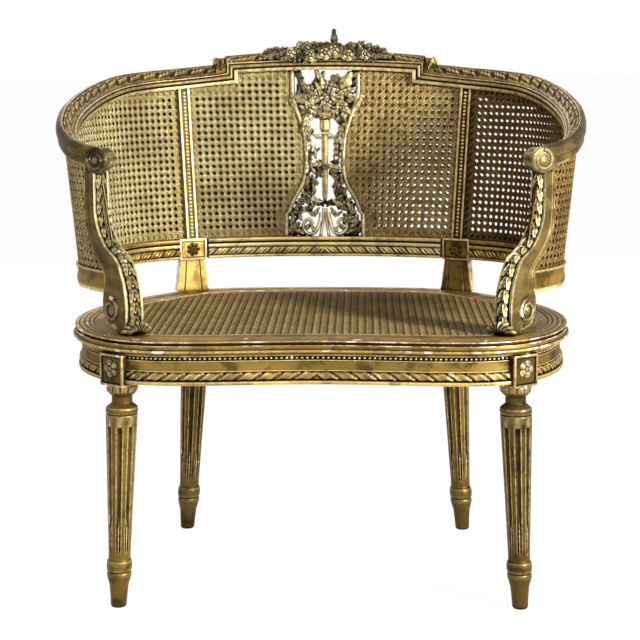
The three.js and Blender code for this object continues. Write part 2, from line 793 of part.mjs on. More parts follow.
// Crest garland of leaves and flowers over the middle of the top rail
const crestTop = topCurve.getPoint(0.5).z + crestRise + topRailHeight / 2;
const crestFace = topCurve.getPoint(0.5).y - topRailThickness / 2;
function crestGarland(rail) {
  const blobs = garlandShares.map(([acrossShare, heightShare, degrees]) => {
    const geometry = new THREE.OctahedronGeometry(0.5, 1).scale(garlandLeaf, garlandHeight, garlandDepth);
    geometry.rotateZ(THREE.MathUtils.degToRad(degrees)).rotateX(Math.PI / 2);
    return solidOf(geometry.translate(
      acrossShare * garlandLength,
      crestFace + topRailProud,
      crestTop - garlandHeight * 0.4 + heightShare * garlandHeight,
    ));
  });
  const finial = new THREE.ConeGeometry(finialWidth / 2, finialHeight, 6).rotateX(Math.PI / 2);
  finial.translate(finialAcross, crestFace + topRailProud, crestTop + garlandHeight / 2 + finialHeight / 2);
  return cut(join([...blobs, solidOf(finial)]), [rail]);
}

// Rosettes lie on the outer face of a block
function rosette(frame, faceDistance, height) {
  const shape = new THREE.Shape();
  for (let i = 0; i < rosetteSegments; i += 1) {
    const angle = (2 * Math.PI * i) / rosetteSegments;
    const radius = rosetteRadius * (1 - rosetteDishShare + rosetteDishShare * Math.cos(rosettePetals * angle));
    const point = [radius * Math.cos(angle), radius * Math.sin(angle)];
    if (i === 0) {
      shape.moveTo(...point);
    } else {
      shape.lineTo(...point);
    }
  }
  const geometry = new THREE.ExtrudeGeometry(shape, { depth: rosetteDepth, bevelEnabled: false });
  return moved(geometry, (vertex) => frame.origin.clone()
    .addScaledVector(frame.along, vertex.x)
    .addScaledVector(frame.out, faceDistance + vertex.z)
    .setZ(height + vertex.y));
}

// Scene graph: a group for each side of the chair and one for what lies on the middle line
const chair = new THREE.Group();
const sides = { right: new THREE.Group(), left: new THREE.Group() };
sides.left.scale.x = -1;
chair.add(sides.right, sides.left);

function addMesh(parent, name, shape, finish) {
  const geometry = shape.isBufferGeometry ? shape : geometryOf(shape);
  const mesh = new THREE.Mesh(geometry, new THREE.MeshStandardMaterial(finish));
  mesh.name = name;
  parent.add(mesh);
}

function addPair(name, shape, finish) {
  Object.entries(sides).forEach(([side, group]) => addMesh(group, `${name}_${side}`, shape, finish));
}

function mirrored(solid) {
  return solid.mirror([1, 0, 0]);
}

function bothSides(solids) {
  return solids.flatMap((solid) => [solid, mirrored(solid)]);
}

// Seat frame and legs
const frontLegSolid = cut(join([
  turnedLeg(frontBlock, frontLegSplay, 0), legBlock(frontBlock),
]), [seatTenon(frontBlock, 1, clearance), seatTenon(frontBlock, -1, clearance), supportFootTenon(clearance)]);
const rearLegSolid = cut(join([
  turnedLeg(rearBlock, rearLegSplay, rearLegRake), legBlock(rearBlock),
]), [seatTenon(rearBlock, 1, clearance), seatTenon(rearBlock, -1, clearance), postFootTenon(clearance)]);
addPair('leg_front', frontLegSolid, wornGold);
addPair('leg_rear', rearLegSolid, wornGold);

const frontRail = join([
  cut(alongSeat(railSection(), -frontLegShare, frontLegShare, rimSteps), bothSides([legBlock(frontBlock, clearance)])),
  ...bothSides([seatTenon(frontBlock, -1)]),
]);
const sideRail = join([
  cut(alongSeat(railSection(), frontLegShare, rearLegShare, sideSteps), [
    legBlock(frontBlock, clearance), legBlock(rearBlock, clearance),
  ]),
  seatTenon(frontBlock, 1), seatTenon(rearBlock, -1),
]);
const rearRail = join([
  cut(alongSeat(railSection(), rearLegShare, 1 - rearLegShare, rearSteps), bothSides([legBlock(rearBlock, clearance)])),
  ...bothSides([seatTenon(rearBlock, 1)]),
]);
addMesh(chair, 'seat_rail_front', frontRail, paleGold);
addPair('seat_rail_side', sideRail, paleGold);
addMesh(chair, 'seat_rail_rear', rearRail, deepGold);

// Corner blocks fill the angle between the rails behind each leg block
function cornerBlock(frame) {
  const inset = railInset + railThickness + clearance;
  const inside = solidOf(seatSlab(loopShares(frontLegShare, rearLegShare), inset, railBottom, railTop));
  const reach = blockInset + blockWidth / 2;
  const box = framedBox(
    frame,
    [0, -(cornerBlockDepth / 2 + inset - reach), railTop - railHeight / 2],
    [cornerBlockLength, cornerBlockDepth, cornerBlockHeight],
  );
  return cut(box.intersect(inside), [legBlock(frame, clearance)]);
}
addPair('corner_block_front', cornerBlock(frontBlock), rawBeech);
addPair('corner_block_rear', cornerBlock(rearBlock), rawBeech);

// Rim pieces are tenoned into each other at the ends of the side pieces
function rimTenon(share, grow = 0) {
  const frame = seatFrame(share);
  const middleOut = -(rimRidgeInset + rimRidgeWidth);
  return framedBox(frame, [0, middleOut, rimBottom + rimThickness * 0.4], [
    seatTenonLength, seatTenonHeight, seatTenonWidth,
  ], grow);
}
const rimGap = clearance / (2 * seatLoop.getLength());
const rimHoles = [supportFootTenon(clearance), postFootTenon(clearance)];
const rimFront = cut(
  alongSeat(rimSection(), -rimFrontJointShare + rimGap, rimFrontJointShare - rimGap, rimSteps),
  bothSides([rimTenon(rimFrontJointShare, clearance), rimHoles[0]]),
);
const rimSide = join([
  alongSeat(rimSection(), rimFrontJointShare + rimGap, rimRearJointShare - rimGap, sideSteps),
  rimTenon(rimFrontJointShare), rimTenon(rimRearJointShare),
]);
const rimRear = cut(
  alongSeat(rimSection(), rimRearJointShare + rimGap, 1 - rimRearJointShare - rimGap, rearSteps),
  bothSides([rimTenon(rimRearJointShare, clearance), rimHoles[1]]),
);
addMesh(chair, 'seat_rim_front', rimFront, paleGold);
addPair('seat_rim_side', rimSide, paleGold);
addMesh(chair, 'seat_rim_rear', rimRear, deepGold);

const seatCaneBottom = seatHeight - rimTopDrop - caneRebateDepth + clearance;
const seatCaneInset = rimWidth - caneRebateWidth + clearance;
function seatCaneSheet(inset) {
  const shares = loopShares(rimFrontJointShare, rimRearJointShare);
  return solidOf(seatSlab(shares, inset, seatCaneBottom, seatCaneBottom + seatCaneThickness));
}

// An opening that the rim would cut down to a sliver is left out
function seatCaneOpenings() {
  const inner = seatCaneSheet(seatCaneInset + seatCaneMargin);
  const bounds = inner.boundingBox();
  const cellWidth = (bounds.max[0] - bounds.min[0]) / seatCaneColumns;
  const cellDepth = (bounds.max[1] - bounds.min[1]) / seatCaneRows;
  const size = [cellWidth * seatCaneOpenShare, cellDepth * seatCaneOpenShare];
  const whole = size[0] * size[1] * seatCaneThickness;
  const openings = [];
  for (let column = 0; column < seatCaneColumns; column += 1) {
    for (let row = 0; row < seatCaneRows; row += 1) {
      const box = new THREE.BoxGeometry(...size, seatCaneThickness + 2 * overrun);
      box.translate(
        bounds.min[0] + (column + 0.5) * cellWidth,
        bounds.min[1] + (row + 0.5) * cellDepth,
        seatCaneBottom + seatCaneThickness / 2,
      );
      const opening = solidOf(box);
      if (opening.intersect(inner).volume() > 0.99 * whole) {
        openings.push(opening);
      }
    }
  }
  return openings;
}
addMesh(chair, 'seat_cane', cut(seatCaneSheet(seatCaneInset), [join(seatCaneOpenings())]), seatCaneTone);

// Back posts, low rails, crest rail, arms and their supports
const crestSideCutter = topRailCutter(crestJogShare, crestJointShare, shoulderSteps, 0);
const post = cut(join([postFoot(), postBlock(), postStile()]), [
  crestSideCutter, lowRailTenon(1, clearance), lowRailTenon(-1, clearance),
]);
addPair('back_post', join([post, postFootTenon(), postHeadTenon()]), paleGold);

const lowRailBack = join([
  cut(alongBack(lowRailSection(), lowCurve, -postShare, postShare, crestSteps), bothSides([postBlock(clearance)])),
  ...bothSides([lowRailTenon(-1)]),
]);
const supportShadow = supportTrimmer();
const lowRailArm = join([
  cut(alongBack(lowRailSection(), lowCurve, postShare, 1, armSteps), [postBlock(clearance), supportShadow]),
  lowRailTenon(1),
]);
addMesh(chair, 'low_rail_back', lowRailBack, deepGold);
addPair('low_rail_arm', lowRailArm, deepGold);

const crestLower = alongBack(topRailSection(), topCurve, crestJogShare, crestJointShare, shoulderSteps);
const crestUpper = alongBack(
  topRailSection(), topCurve, -crestShoulderShare, crestShoulderShare, crestSteps, crestRise, crestFall,
);
const crestGap = clearance / topCurve.getLength();
const crestRail = cut(join([crestUpper, ...bothSides([crestLower])]), bothSides([postHeadTenon(clearance)]));
addMesh(chair, 'crest_rail', crestRail, paleGold);

function armRoll(grow = 0) {
  const radius = rollRadius + grow;
  const roll = new THREE.CylinderGeometry(radius, radius, rollWidth + 2 * grow, rollSegments);
  roll.rotateZ(THREE.MathUtils.degToRad(rollTurnDegrees));
  return solidOf(roll.translate(armEnd.x, armEnd.y, armEnd.z - rollDrop));
}
const armRail = cut(
  join([alongBack(topRailSection(), topCurve, crestJointShare + crestGap, 1, armSteps), armRoll()]),
  [supportHeadCutter(), supportHeadTenon(clearance)],
);
addPair('arm_rail', armRail, wornGold);

const supportOutline = [...supportFront, ...supportRear];
const support = join([supportPlank(supportOutline, supportWidth), supportFootTenon(), supportHeadTenon()]);
addPair('arm_support', support, paleGold);

// Splat and the eight cane panels
addMesh(chair, 'splat', splat(), deepGold);
const layers = { inner: backCaneSetIn - lowRailThickness / 2, outer: lowRailThickness / 2 - backCaneSetIn };
const postShadows = [postStile(clearance), postBlock(clearance)];
const armCutters = [
  supportShadow, crestSideCutter, armRoll(clearance), topRailCutter(crestJointShare + crestGap, 1, armSteps, 0),
];
Object.entries(layers).forEach(([layer, outward]) => {
  const centre = canePanel(0, postShare, caneSteps, outward, crestRise);
  const arm = canePanel(postShare, 1, armSteps, outward, 0);
  const centreCutters = [...postShadows, splatShadow(clearance), crestSideCutter, crestMiddleCutter];
  addPair(`cane_back_${layer}`, cut(centre, centreCutters), backCaneTone);
  addPair(`cane_arm_${layer}`, cut(arm, [...postShadows, ...armCutters]), backCaneTone);
});

// Carved ornament that is applied to the frame
addMesh(chair, 'crest_garland', crestGarland(crestRail), wornGold);
addPair('rosette_front', rosette(frontBlock, blockWidth / 2 + clearance, railTop - railHeight / 2), paleGold);
const postFace = { ...postLow, out: postLow.out.clone().negate() };
const postFaceDistance = lowRailThickness / 2 + postBlockProud + clearance;
addPair('rosette_back', rosette(postFace, postFaceDistance, lowRailMiddle), paleGold);

export default chair;
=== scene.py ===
"""A gilded caned tub armchair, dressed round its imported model.

Shapes are worked out in millimetres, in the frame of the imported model, and turned into metres when
a mesh is made. +Z is up, the chair faces -Y and the floor is at height 0.
"""

import math

import bmesh
import bpy
import numpy as np
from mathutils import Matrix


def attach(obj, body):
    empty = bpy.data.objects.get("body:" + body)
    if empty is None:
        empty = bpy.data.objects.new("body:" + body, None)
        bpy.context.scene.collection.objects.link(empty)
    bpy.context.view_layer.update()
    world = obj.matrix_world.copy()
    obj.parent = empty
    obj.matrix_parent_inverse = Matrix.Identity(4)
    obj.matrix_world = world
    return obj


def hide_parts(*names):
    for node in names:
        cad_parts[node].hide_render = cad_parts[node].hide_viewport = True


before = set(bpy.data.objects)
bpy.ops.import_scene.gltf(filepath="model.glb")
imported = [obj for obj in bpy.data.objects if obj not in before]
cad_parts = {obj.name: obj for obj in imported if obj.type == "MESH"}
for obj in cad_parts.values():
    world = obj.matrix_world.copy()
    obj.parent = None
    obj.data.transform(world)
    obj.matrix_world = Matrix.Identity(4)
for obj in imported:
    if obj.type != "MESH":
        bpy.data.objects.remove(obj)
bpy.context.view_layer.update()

MM = 0.001
UP = np.array([0.0, 0.0, 1.0])
TAU = 2 * math.pi

# Seat. The outline's points are shares of half its width and of its depth, from the front
SEAT_WIDTH = 800
SEAT_DEPTH = 581
SEAT_HEIGHT = 430
SEAT_FRONT = 314
SEAT_SHARES = [
    (0, 0.024), (0.225, 0.014), (0.4625, 0), (0.655, 0.007), (0.785, 0.048), (0.8875, 0.124),
    (0.965, 0.239), (1, 0.389), (0.9775, 0.54), (0.905, 0.678), (0.795, 0.79), (0.655, 0.904),
    (0.5225, 0.962), (0.275, 0.993), (0, 1),
]
RIM_WIDTH = 68
RIM_THICKNESS = 25.5
RIM_BOTTOM = SEAT_HEIGHT - RIM_THICKNESS
RIM_JOINTS = (0.175, 0.364)
RIM_GAP = 0.2
CANE_REBATE = 12
RAIL_TOP = RIM_BOTTOM - 0.3
RAIL_BOTTOM = RAIL_TOP - 44
RAIL_INSET = 15
RAIL_THICKNESS = 27
PEARL_PITCH = 7.6
RIBBON_PITCH = 29

# Legs. Each leg stands at a share of the seat outline; its profile is in shares of height and radius
FRONT_LEG_SHARE = 0.1405
REAR_LEG_SHARE = 0.3895
BLOCK_WIDTH = 48
BLOCK_INSET = 4
LEG_HEIGHT = RAIL_BOTTOM - 6
LEG_RADIUS = 24.7
FRONT_SPLAY = (13, 0)
REAR_SPLAY = (18, -22)
FLUTES = 8
FLUTE_DEPTH = 3.6
FLUTE_SHARES = (0.25, 0.825)
LEG_SHARES = [
    (0, 0), (0, 0.43), (0.008, 0.5), (0.06, 0.55), (0.1, 0.605), (0.125, 0.7), (0.146, 0.785),
    (0.158, 0.77), (0.163, 0.72), (0.17, 0.79), (0.19, 0.81), (0.212, 0.78), (0.218, 0.7), (0.226, 0.69),
    (0.25, 0.695), (0.82, 0.98), (0.869, 0.995), (0.873, 0.94), (0.879, 1), (0.89, 1.015), (0.901, 1),
    (0.92, 0.65), (0.951, 0.64), (0.965, 0.85), (0.976, 0.97), (1, 1), (1, 0),
]

# Back. Its two curves run from the middle to the right arm, in the same shares as the seat
LOW_SHARES = [
    (0, 0.979), (0.1875, 0.976), (0.375, 0.955), (0.595, 0.91), (0.745, 0.85), (0.84, 0.785),
    (0.9075, 0.678), (0.9475, 0.558), (0.96, 0.434), (0.945, 0.33), (0.875, 0.242), (0.7575, 0.155),
]
TOP_SHARES = [
    (0, 0.961), (0.2005, 0.958), (0.396, 0.941), (0.604, 0.897), (0.741, 0.836), (0.835, 0.763),
    (0.906, 0.655), (0.948, 0.529), (0.96, 0.409), (0.946, 0.318), (0.892, 0.251), (0.7925, 0.193),
]
TOP_RISE_SHARES = (1, 0.997, 0.985, 0.964, 0.951, 0.936, 0.902, 0.858, 0.812, 0.758, 0.711, 0.683)
TOP_WIDTH = SEAT_WIDTH + 48
TOP_DEPTH = SEAT_DEPTH + 60
TOP_RISE = 388
LOW_RAIL_HEIGHT = 35
LOW_RAIL_Z = SEAT_HEIGHT + 57 + LOW_RAIL_HEIGHT / 2
TOP_RAIL_HEIGHT = 36
CREST_RISE = 18
CREST_FALL = 8.5
CREST_SHOULDER = 0.2115
CREST_JOG = 0.173
CREST_JOINT = 0.302
POST_RUN = 3 / 11
LAYER_OFFSET = 4

# Cane: widths of straight and slanted strands, and how much painted shade darkens one of each pair
PITCH = 11.9
STRANDS = (1.8, 1.5)
WIDE_STRANDS = (2.8, 2.6)
PAIR_TONES = {-1: 0.14, 1: 0.0}
PAIR_SPREAD = 1.3
LEAST_STRAND = 4
CANE_MARGIN = 17


# Curves

def catmull_rom(points, params, closed=False):
    """Centripetal Catmull-Rom curve through points, at params from 0 to 1."""
    points = np.asarray(points, float)
    count = len(points)
    spans = count if closed else count - 1
    at = np.clip(np.asarray(params, float) * spans, 0, spans - 1e-9)
    index = np.floor(at).astype(int)
    part = (at - index)[:, None]
    if closed:
        p0, p1, p2, p3 = (points[(index + k) % count] for k in (-1, 0, 1, 2))
    else:
        padded = np.vstack([2 * points[0] - points[1], points, 2 * points[-1] - points[-2]])
        p0, p1, p2, p3 = (padded[index + k] for k in range(4))
    steps = ((p0, p1), (p1, p2), (p2, p3))
    d0, d1, d2 = (np.sqrt(np.linalg.norm(after - before, axis=1))[:, None] for before, after in steps)
    start = ((p1 - p0) / d0 - (p2 - p0) / (d0 + d1) + (p2 - p1) / d1) * d1
    end = ((p2 - p1) / d1 - (p3 - p1) / (d1 + d2) + (p3 - p2) / d2) * d1
    cubic = 2 * p1 - 2 * p2 + start + end
    square = -3 * p1 + 3 * p2 - 2 * start - end
    return p1 + start * part + square * part**2 + cubic * part**3


def unit(vectors):
    return vectors / np.linalg.norm(vectors, axis=-1, keepdims=True)


def distances(path):
    """Distance along a path at each of its points."""
    return np.concatenate([[0], np.cumsum(np.linalg.norm(np.diff(path, axis=0), axis=1))])


def sampled(places, distance, points):
    """Points of a path at the given distances along it."""
    return np.stack([np.interp(places, distance, column) for column in points.T], axis=1)


def circle(count):
    """Angles of one full turn, in even steps."""
    return np.arange(count) * TAU / count


def plateau(values, start, end, slope):
    """1 between start and end, with a straight slope down to 0 inside each of them."""
    return np.clip((values - start) / slope, 0, 1) * np.clip((end - values) / slope, 0, 1)


def both_sides(points):
    """The right half of a curve of the back, from the middle, with its mirror image before it."""
    points = np.asarray(points, float)
    return np.vstack([points[:0:-1] * (-1, 1, 1), points])


SEAT_POINTS = [(w * SEAT_WIDTH / 2, d * SEAT_DEPTH - SEAT_FRONT, 0) for w, d in SEAT_SHARES]
LOW_POINTS = both_sides([
    (w * SEAT_WIDTH / 2, d * SEAT_DEPTH - SEAT_FRONT, LOW_RAIL_Z) for w, d in LOW_SHARES
])
TOP_POINTS = both_sides([
    (w * TOP_WIDTH / 2, d * TOP_DEPTH - SEAT_FRONT, SEAT_HEIGHT + TOP_RISE * rise)
    for (w, d), rise in zip(TOP_SHARES, TOP_RISE_SHARES)
])


def seat_table():
    """Points of the seat outline, evenly spaced, and its length."""
    loop = SEAT_POINTS + [(-x, y, z) for x, y, z in SEAT_POINTS[-2:0:-1]]
    dense = catmull_rom(loop, np.linspace(0, 1, 6001), closed=True)
    run = distances(dense)
    return sampled(np.linspace(0, run[-1], 4001), run, dense), run[-1]


SEAT_TABLE, SEAT_LENGTH = seat_table()


def seat_frames(shares):
    """Origins, directions along and directions out, at shares of the seat outline."""
    def at(share):
        last = len(SEAT_TABLE) - 1
        return sampled(np.asarray(share, float) % 1 * last, np.arange(last + 1), SEAT_TABLE)

    shares = np.atleast_1d(shares)
    step = 0.0004
    along = unit(at(shares + step) - at(shares - step))
    return at(shares), along, np.stack([along[:, 1], -along[:, 0], 0 * along[:, 0]], axis=1)


def back_frames(points, runs):
    """The same for a curve of the back: run is -1 at the left arm, 0 at the middle and 1 at the right."""
    params = (np.atleast_1d(runs) + 1) / 2
    step = 1e-4
    ahead = catmull_rom(points, np.clip(params + step, 0, 1))
    behind = catmull_rom(points, np.clip(params - step, 0, 1))
    along = unit((ahead - behind) * (1, 1, 0))
    return catmull_rom(points, params), along, np.stack([-along[:, 1], along[:, 0], 0 * along[:, 0]], axis=1)


def first(frames):
    """The first origin and its two directions."""
    return (value[0] for value in frames)


def wrap_points(runs, heights, outward):
    """Points of the surface ruled between the two curves of the back."""
    low, _, low_out = back_frames(LOW_POINTS, runs)
    top, _, top_out = back_frames(TOP_POINTS, runs)
    share = ((np.asarray(heights) - low[:, 2]) / (top[:, 2] - low[:, 2]))[:, None]
    out = unit(low_out * (1 - share) + top_out * share)
    return low * (1 - share) + top * share + out * np.reshape(outward, (-1, 1)), out


# Meshes

def oriented(direction, normal):
    """Row axes: x along a direction, z along a normal."""
    direction, normal = unit(np.asarray(direction, float)), np.asarray(normal, float)
    normal = unit(normal - direction * np.sum(direction * normal, axis=-1, keepdims=True))
    return np.stack([direction, np.cross(normal, direction), normal], axis=-2)


class Form:
    """Collects vertices in millimetres, and faces, for one piece."""

    def __init__(self):
        self.verts, self.faces, self.bole_and_shade = [], [], []
        self.count = 0

    def add(self, verts, faces, bole_and_shade=0.0):
        verts = np.asarray(verts, float).reshape(-1, 3)
        self.verts.append(verts)
        self.bole_and_shade.append(np.broadcast_to(bole_and_shade, len(verts)))
        self.faces += [np.asarray(face, int) + self.count for face in faces]
        self.count += len(verts)

    def loft(self, rings, bole_and_shade=0.0, caps=True):
        """Closed rings of points, one after another, joined into a tube with flat ends."""
        rings = np.asarray(rings, float)
        stations, around, _ = rings.shape
        index = np.arange(stations * around).reshape(stations, around)
        nearer, further = index[:-1], index[1:]
        sides = [nearer, np.roll(nearer, -1, 1), np.roll(further, -1, 1), further]
        quads = np.stack(sides, axis=-1).reshape(-1, 4)
        flat_rings = rings.reshape(-1, 3)
        a, b, c, d = (flat_rings[quads[:, k]] for k in range(4))
        middles = (a + b + c + d) / 4 - flat_rings.mean(0)
        volume = np.einsum("ij,ij->i", middles, np.cross(c - a, d - b)).sum()
        turn = slice(None, None, -1 if volume < 0 else 1)
        bole_and_shade = np.broadcast_to(bole_and_shade, (stations, around))
        self.add(flat_rings, [quads[:, turn]], bole_and_shade.reshape(-1))
        if caps:
            end = np.arange(around)
            self.add(rings[0], [end[::-1][None, turn]], bole_and_shade[0])
            self.add(rings[-1], [end[None, turn]], bole_and_shade[-1])

    def tube(self, path, radii, sides=8, up=UP, bole_and_shade=0.0):
        """A round cord along a path."""
        path = np.asarray(path, float)
        radii = np.broadcast_to(radii, len(path))
        along = unit(np.gradient(path, axis=0))
        side = unit(np.cross(along, np.broadcast_to(up, along.shape)) + 1e-9)
        rise = np.cross(side, along)
        angle = circle(sides)[:, None]
        spokes = np.cos(angle) * side[:, None] + np.sin(angle) * rise[:, None]
        self.loft(path[:, None] + radii[:, None, None] * spokes, bole_and_shade)

    def scatter(self, shape, origins, axes, scales, bole_and_shade=0.0):
        """Copies of a small shape: axes are rows of x, y and z directions for each copy."""
        verts, faces = shape
        origins = np.asarray(origins, float)
        scales = np.broadcast_to(scales, (len(origins), 3))
        placed = origins[:, None] + np.einsum("vk,nk,nkj->nvj", verts, scales, axes)
        steps = (np.arange(len(origins)) * len(verts))[:, None, None]
        groups = [(np.asarray(group)[None] + steps).reshape(-1, np.shape(group)[1]) for group in faces]
        self.add(placed, groups, bole_and_shade)

    def put(self, shape, place, direction, normal, size, bole_and_shade=0.0):
        """One copy of a small shape, along a direction and facing a normal."""
        self.scatter(shape, [place], oriented([direction], [normal]), size, bole_and_shade)

    def mirrored(self):
        """The same shape on the other side of the middle plane."""
        other = Form()
        faces = [group[:, ::-1] for group in self.faces]
        other.add(np.vstack(self.verts) * (-1, 1, 1), faces, np.concatenate(self.bole_and_shade))
        return other


def frame_axes(along, out):
    """Row axes for flat-lying copies: x along, y up, z out."""
    return np.stack([along, np.broadcast_to(UP, along.shape), out], axis=1)


def ball(segments=8, rings=5):
    """A unit ball, for pearls and berries."""
    tilts = np.linspace(-math.pi / 2, math.pi / 2, rings + 1)[1:-1]
    points = [(0, 0, -1)]
    for tilt in tilts:
        reach, height = math.cos(tilt), math.sin(tilt)
        points += [(reach * math.cos(turn), reach * math.sin(turn), height) for turn in circle(segments)]
    points.append((0, 0, 1))
    quads, triangles = [], []
    last = len(points) - 1
    for i in range(segments):
        j = (i + 1) % segments
        triangles.append((0, 1 + j, 1 + i))
        triangles.append((last, last - segments + i, last - segments + j))
        for r in range(rings - 2):
            row = 1 + r * segments
            quads.append((row + i, row + j, row + segments + j, row + segments + i))
    return np.array(points), [np.array(quads), np.array(triangles)]


PEARL = ball()


def rounded(corners, radius, steps=3, closed=True):
    """A polygon with each corner softened."""
    corners = np.asarray(corners, float)
    count = len(corners)
    result = []
    for i, corner in enumerate(corners):
        if not closed and i in (0, count - 1):
            result.append(corner)
            continue
        cuts = []
        for side in (corners[i - 1] - corner, corners[(i + 1) % count] - corner):
            reach = np.linalg.norm(side)
            cuts.append(corner + side * (min(radius, reach * 0.45) / max(reach, 1e-6)))
        start, end = cuts
        for k in range(steps + 1):
            t = k / steps
            result.append(start * (1 - t) ** 2 + 2 * corner * t * (1 - t) + end * t * t)
    return np.array(result)


def arc(centre, radii, start, end, steps):
    """Points of an elliptical arc, angles in degrees."""
    angles = np.radians(np.linspace(start, end, steps))
    return np.stack([centre[0] + radii[0] * np.cos(angles), centre[1] + radii[1] * np.sin(angles)], axis=1)


def along_seat(section, shares):
    """Rings of a section of insets and heights. The section may differ at each station."""
    origin, _, out = seat_frames(shares)
    section = np.broadcast_to(section, (len(origin), *np.shape(section)[-2:]))
    rings = origin[:, None] - out[:, None] * section[..., :1]
    rings[..., 2] = section[..., 1]
    return rings


def along_back(points, section, runs, lift=0.0):
    """Rings of a section of outward distances and heights."""
    origin, _, out = back_frames(points, runs)
    section = np.broadcast_to(section, (len(origin), *np.shape(section)[-2:]))
    rings = origin[:, None] + out[:, None] * section[..., :1]
    rings[..., 2] += section[..., 1] + lift
    return rings


def run_lengths(points, runs):
    """Distance along a curve of the back at each run."""
    return distances(back_frames(points, runs)[0])


def even_runs(points, start, end, spacing):
    """Runs at an even spacing in millimetres, from start to end."""
    dense = np.linspace(start, end, 600)
    length = run_lengths(points, dense)
    count = max(2, int(round(length[-1] / spacing)) + 1)
    return np.interp(np.linspace(0, length[-1], count), length, dense)


SHADE_GAIN = 5


def shade_values(mesh):
    """How much each vertex stands out on an edge or lies in a hollow, for rubbed wear and painted highlight,
    and for patina and painted shade.
    """
    count = len(mesh.vertices)
    co, normal = np.zeros(count * 3), np.zeros(count * 3)
    mesh.vertices.foreach_get("co", co)
    mesh.vertices.foreach_get("normal", normal)
    co, normal = co.reshape(-1, 3), normal.reshape(-1, 3)
    edges = np.zeros(len(mesh.edges) * 2, int)
    mesh.edges.foreach_get("vertices", edges)
    a, b = edges.reshape(-1, 2).T
    line = co[b] - co[a]
    length = np.linalg.norm(line, axis=1) + 1e-9
    bulge, weight = np.zeros(count), np.zeros(count)
    for here, way in ((a, 1), (b, -1)):
        slope = -way * np.einsum("ij,ij->i", normal[here], line) / length
        np.add.at(bulge, here, slope)
        np.add.at(weight, here, 1)
    bulge /= np.maximum(weight, 1)
    for _ in range(2):
        spread, weight = bulge * 2, np.full(count, 2.0)
        for here, there in ((a, b), (b, a)):
            np.add.at(spread, here, bulge[there])
            np.add.at(weight, here, 1)
        bulge = spread / weight
    return np.clip(bulge * SHADE_GAIN, 0, 1), np.clip(-bulge * SHADE_GAIN, 0, 1)


def piece(form, node, material, sharp=38):
    """Makes a mesh object of a form, in metres, that stands for a CAD node."""
    verts = np.vstack(form.verts) * MM
    name = f"{node}_carved"
    mesh = bpy.data.meshes.new(name)
    sizes = np.concatenate([np.full(len(group), group.shape[1]) for group in form.faces])
    starts = np.concatenate([[0], np.cumsum(sizes)[:-1]])
    loops = np.concatenate([group.reshape(-1) for group in form.faces])
    mesh.vertices.add(len(verts))
    mesh.vertices.foreach_set("co", verts.ravel())
    mesh.loops.add(len(loops))
    mesh.loops.foreach_set("vertex_index", loops.astype(np.int32))
    mesh.polygons.add(len(sizes))
    mesh.polygons.foreach_set("loop_start", starts.astype(np.int32))
    mesh.polygons.foreach_set("loop_total", sizes.astype(np.int32))
    mesh.polygons.foreach_set("use_smooth", np.ones(len(sizes), bool))
    mesh.update(calc_edges=True)
    mesh.validate()
    mesh.set_sharp_from_angle(angle=math.radians(sharp))
    edge, hollow = shade_values(mesh)
    for label, values in (("edge", edge), ("hollow", hollow), ("bole_and_shade", np.concatenate(form.bole_and_shade))):
        mesh.attributes.new(label, "FLOAT", "POINT").data.foreach_set("value", values.astype(np.float32))
    mesh.materials.append(material)
    obj = bpy.data.objects.new(name, mesh)
    bpy.context.scene.collection.objects.link(obj)
    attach(obj, "root")
    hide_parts(node)


def pair(form, name, material, left=None):
    """A right-hand piece and its mirror image, which may have a material of its own."""
    piece(form, f"{name}_right", material)
    piece(form.mirrored(), f"{name}_left", left or material)


# Materials

class Nodes:
    """Builds a material's nodes with less writing."""

    def __init__(self, name):
        self.material = bpy.data.materials.new(name)
        self.material.use_nodes = True
        self.tree = self.material.node_tree
        self.shader = self.tree.nodes["Principled BSDF"]
        self.place = self.tree.nodes.new("ShaderNodeTexCoord").outputs["Object"]

    def link(self, value, socket):
        if isinstance(value, bpy.types.NodeSocket):
            self.tree.links.new(value, socket)
        else:
            socket.default_value = value

    def math(self, operation, *values, clamp=False):
        node = self.tree.nodes.new("ShaderNodeMath")
        node.operation = operation
        node.use_clamp = clamp
        for value, socket in zip(values, node.inputs):
            self.link(value, socket)
        return node.outputs[0]

    def times(self, first_value, second_value):
        return self.math("MULTIPLY", first_value, second_value)

    def plus(self, first_value, second_value):
        return self.math("ADD", first_value, second_value)

    def noise(self, scale, detail=4.0, stretch=(1, 1, 1)):
        mapping = self.tree.nodes.new("ShaderNodeMapping")
        self.link(self.place, mapping.inputs["Vector"])
        mapping.inputs["Scale"].default_value = stretch
        node = self.tree.nodes.new("ShaderNodeTexNoise")
        self.link(mapping.outputs[0], node.inputs["Vector"])
        node.inputs["Scale"].default_value = scale
        node.inputs["Detail"].default_value = detail
        node.inputs["Roughness"].default_value = 0.55
        return node.outputs["Fac"]

    def attribute(self, name):
        """A shade that each vertex carries."""
        node = self.tree.nodes.new("ShaderNodeAttribute")
        node.attribute_name = name
        return node.outputs["Fac"]

    def occlusion(self, distance):
        """How open a place is to what lies within a distance."""
        node = self.tree.nodes.new("ShaderNodeAmbientOcclusion")
        node.samples = 6
        node.inputs["Distance"].default_value = distance
        return node.outputs["AO"]

    def between(self, value, low, high):
        """Value moved so that low is 0 and high is 1, clamped."""
        return self.math("DIVIDE", self.math("SUBTRACT", value, low), high - low, clamp=True)

    def mix(self, share, first, second):
        node = self.tree.nodes.new("ShaderNodeMix")
        node.data_type = "RGBA"
        node.clamp_factor = True
        self.link(share, node.inputs["Factor"])
        for value, socket in ((first, node.inputs[6]), (second, node.inputs[7])):
            self.link((*value, 1) if isinstance(value, tuple) else value, socket)
        return node.outputs[2]

    def bump(self, height, distance, strength=0.6):
        node = self.tree.nodes.new("ShaderNodeBump")
        node.inputs["Strength"].default_value = strength
        node.inputs["Distance"].default_value = distance
        self.link(height, node.inputs["Height"])
        self.link(node.outputs[0], self.shader.inputs["Normal"])
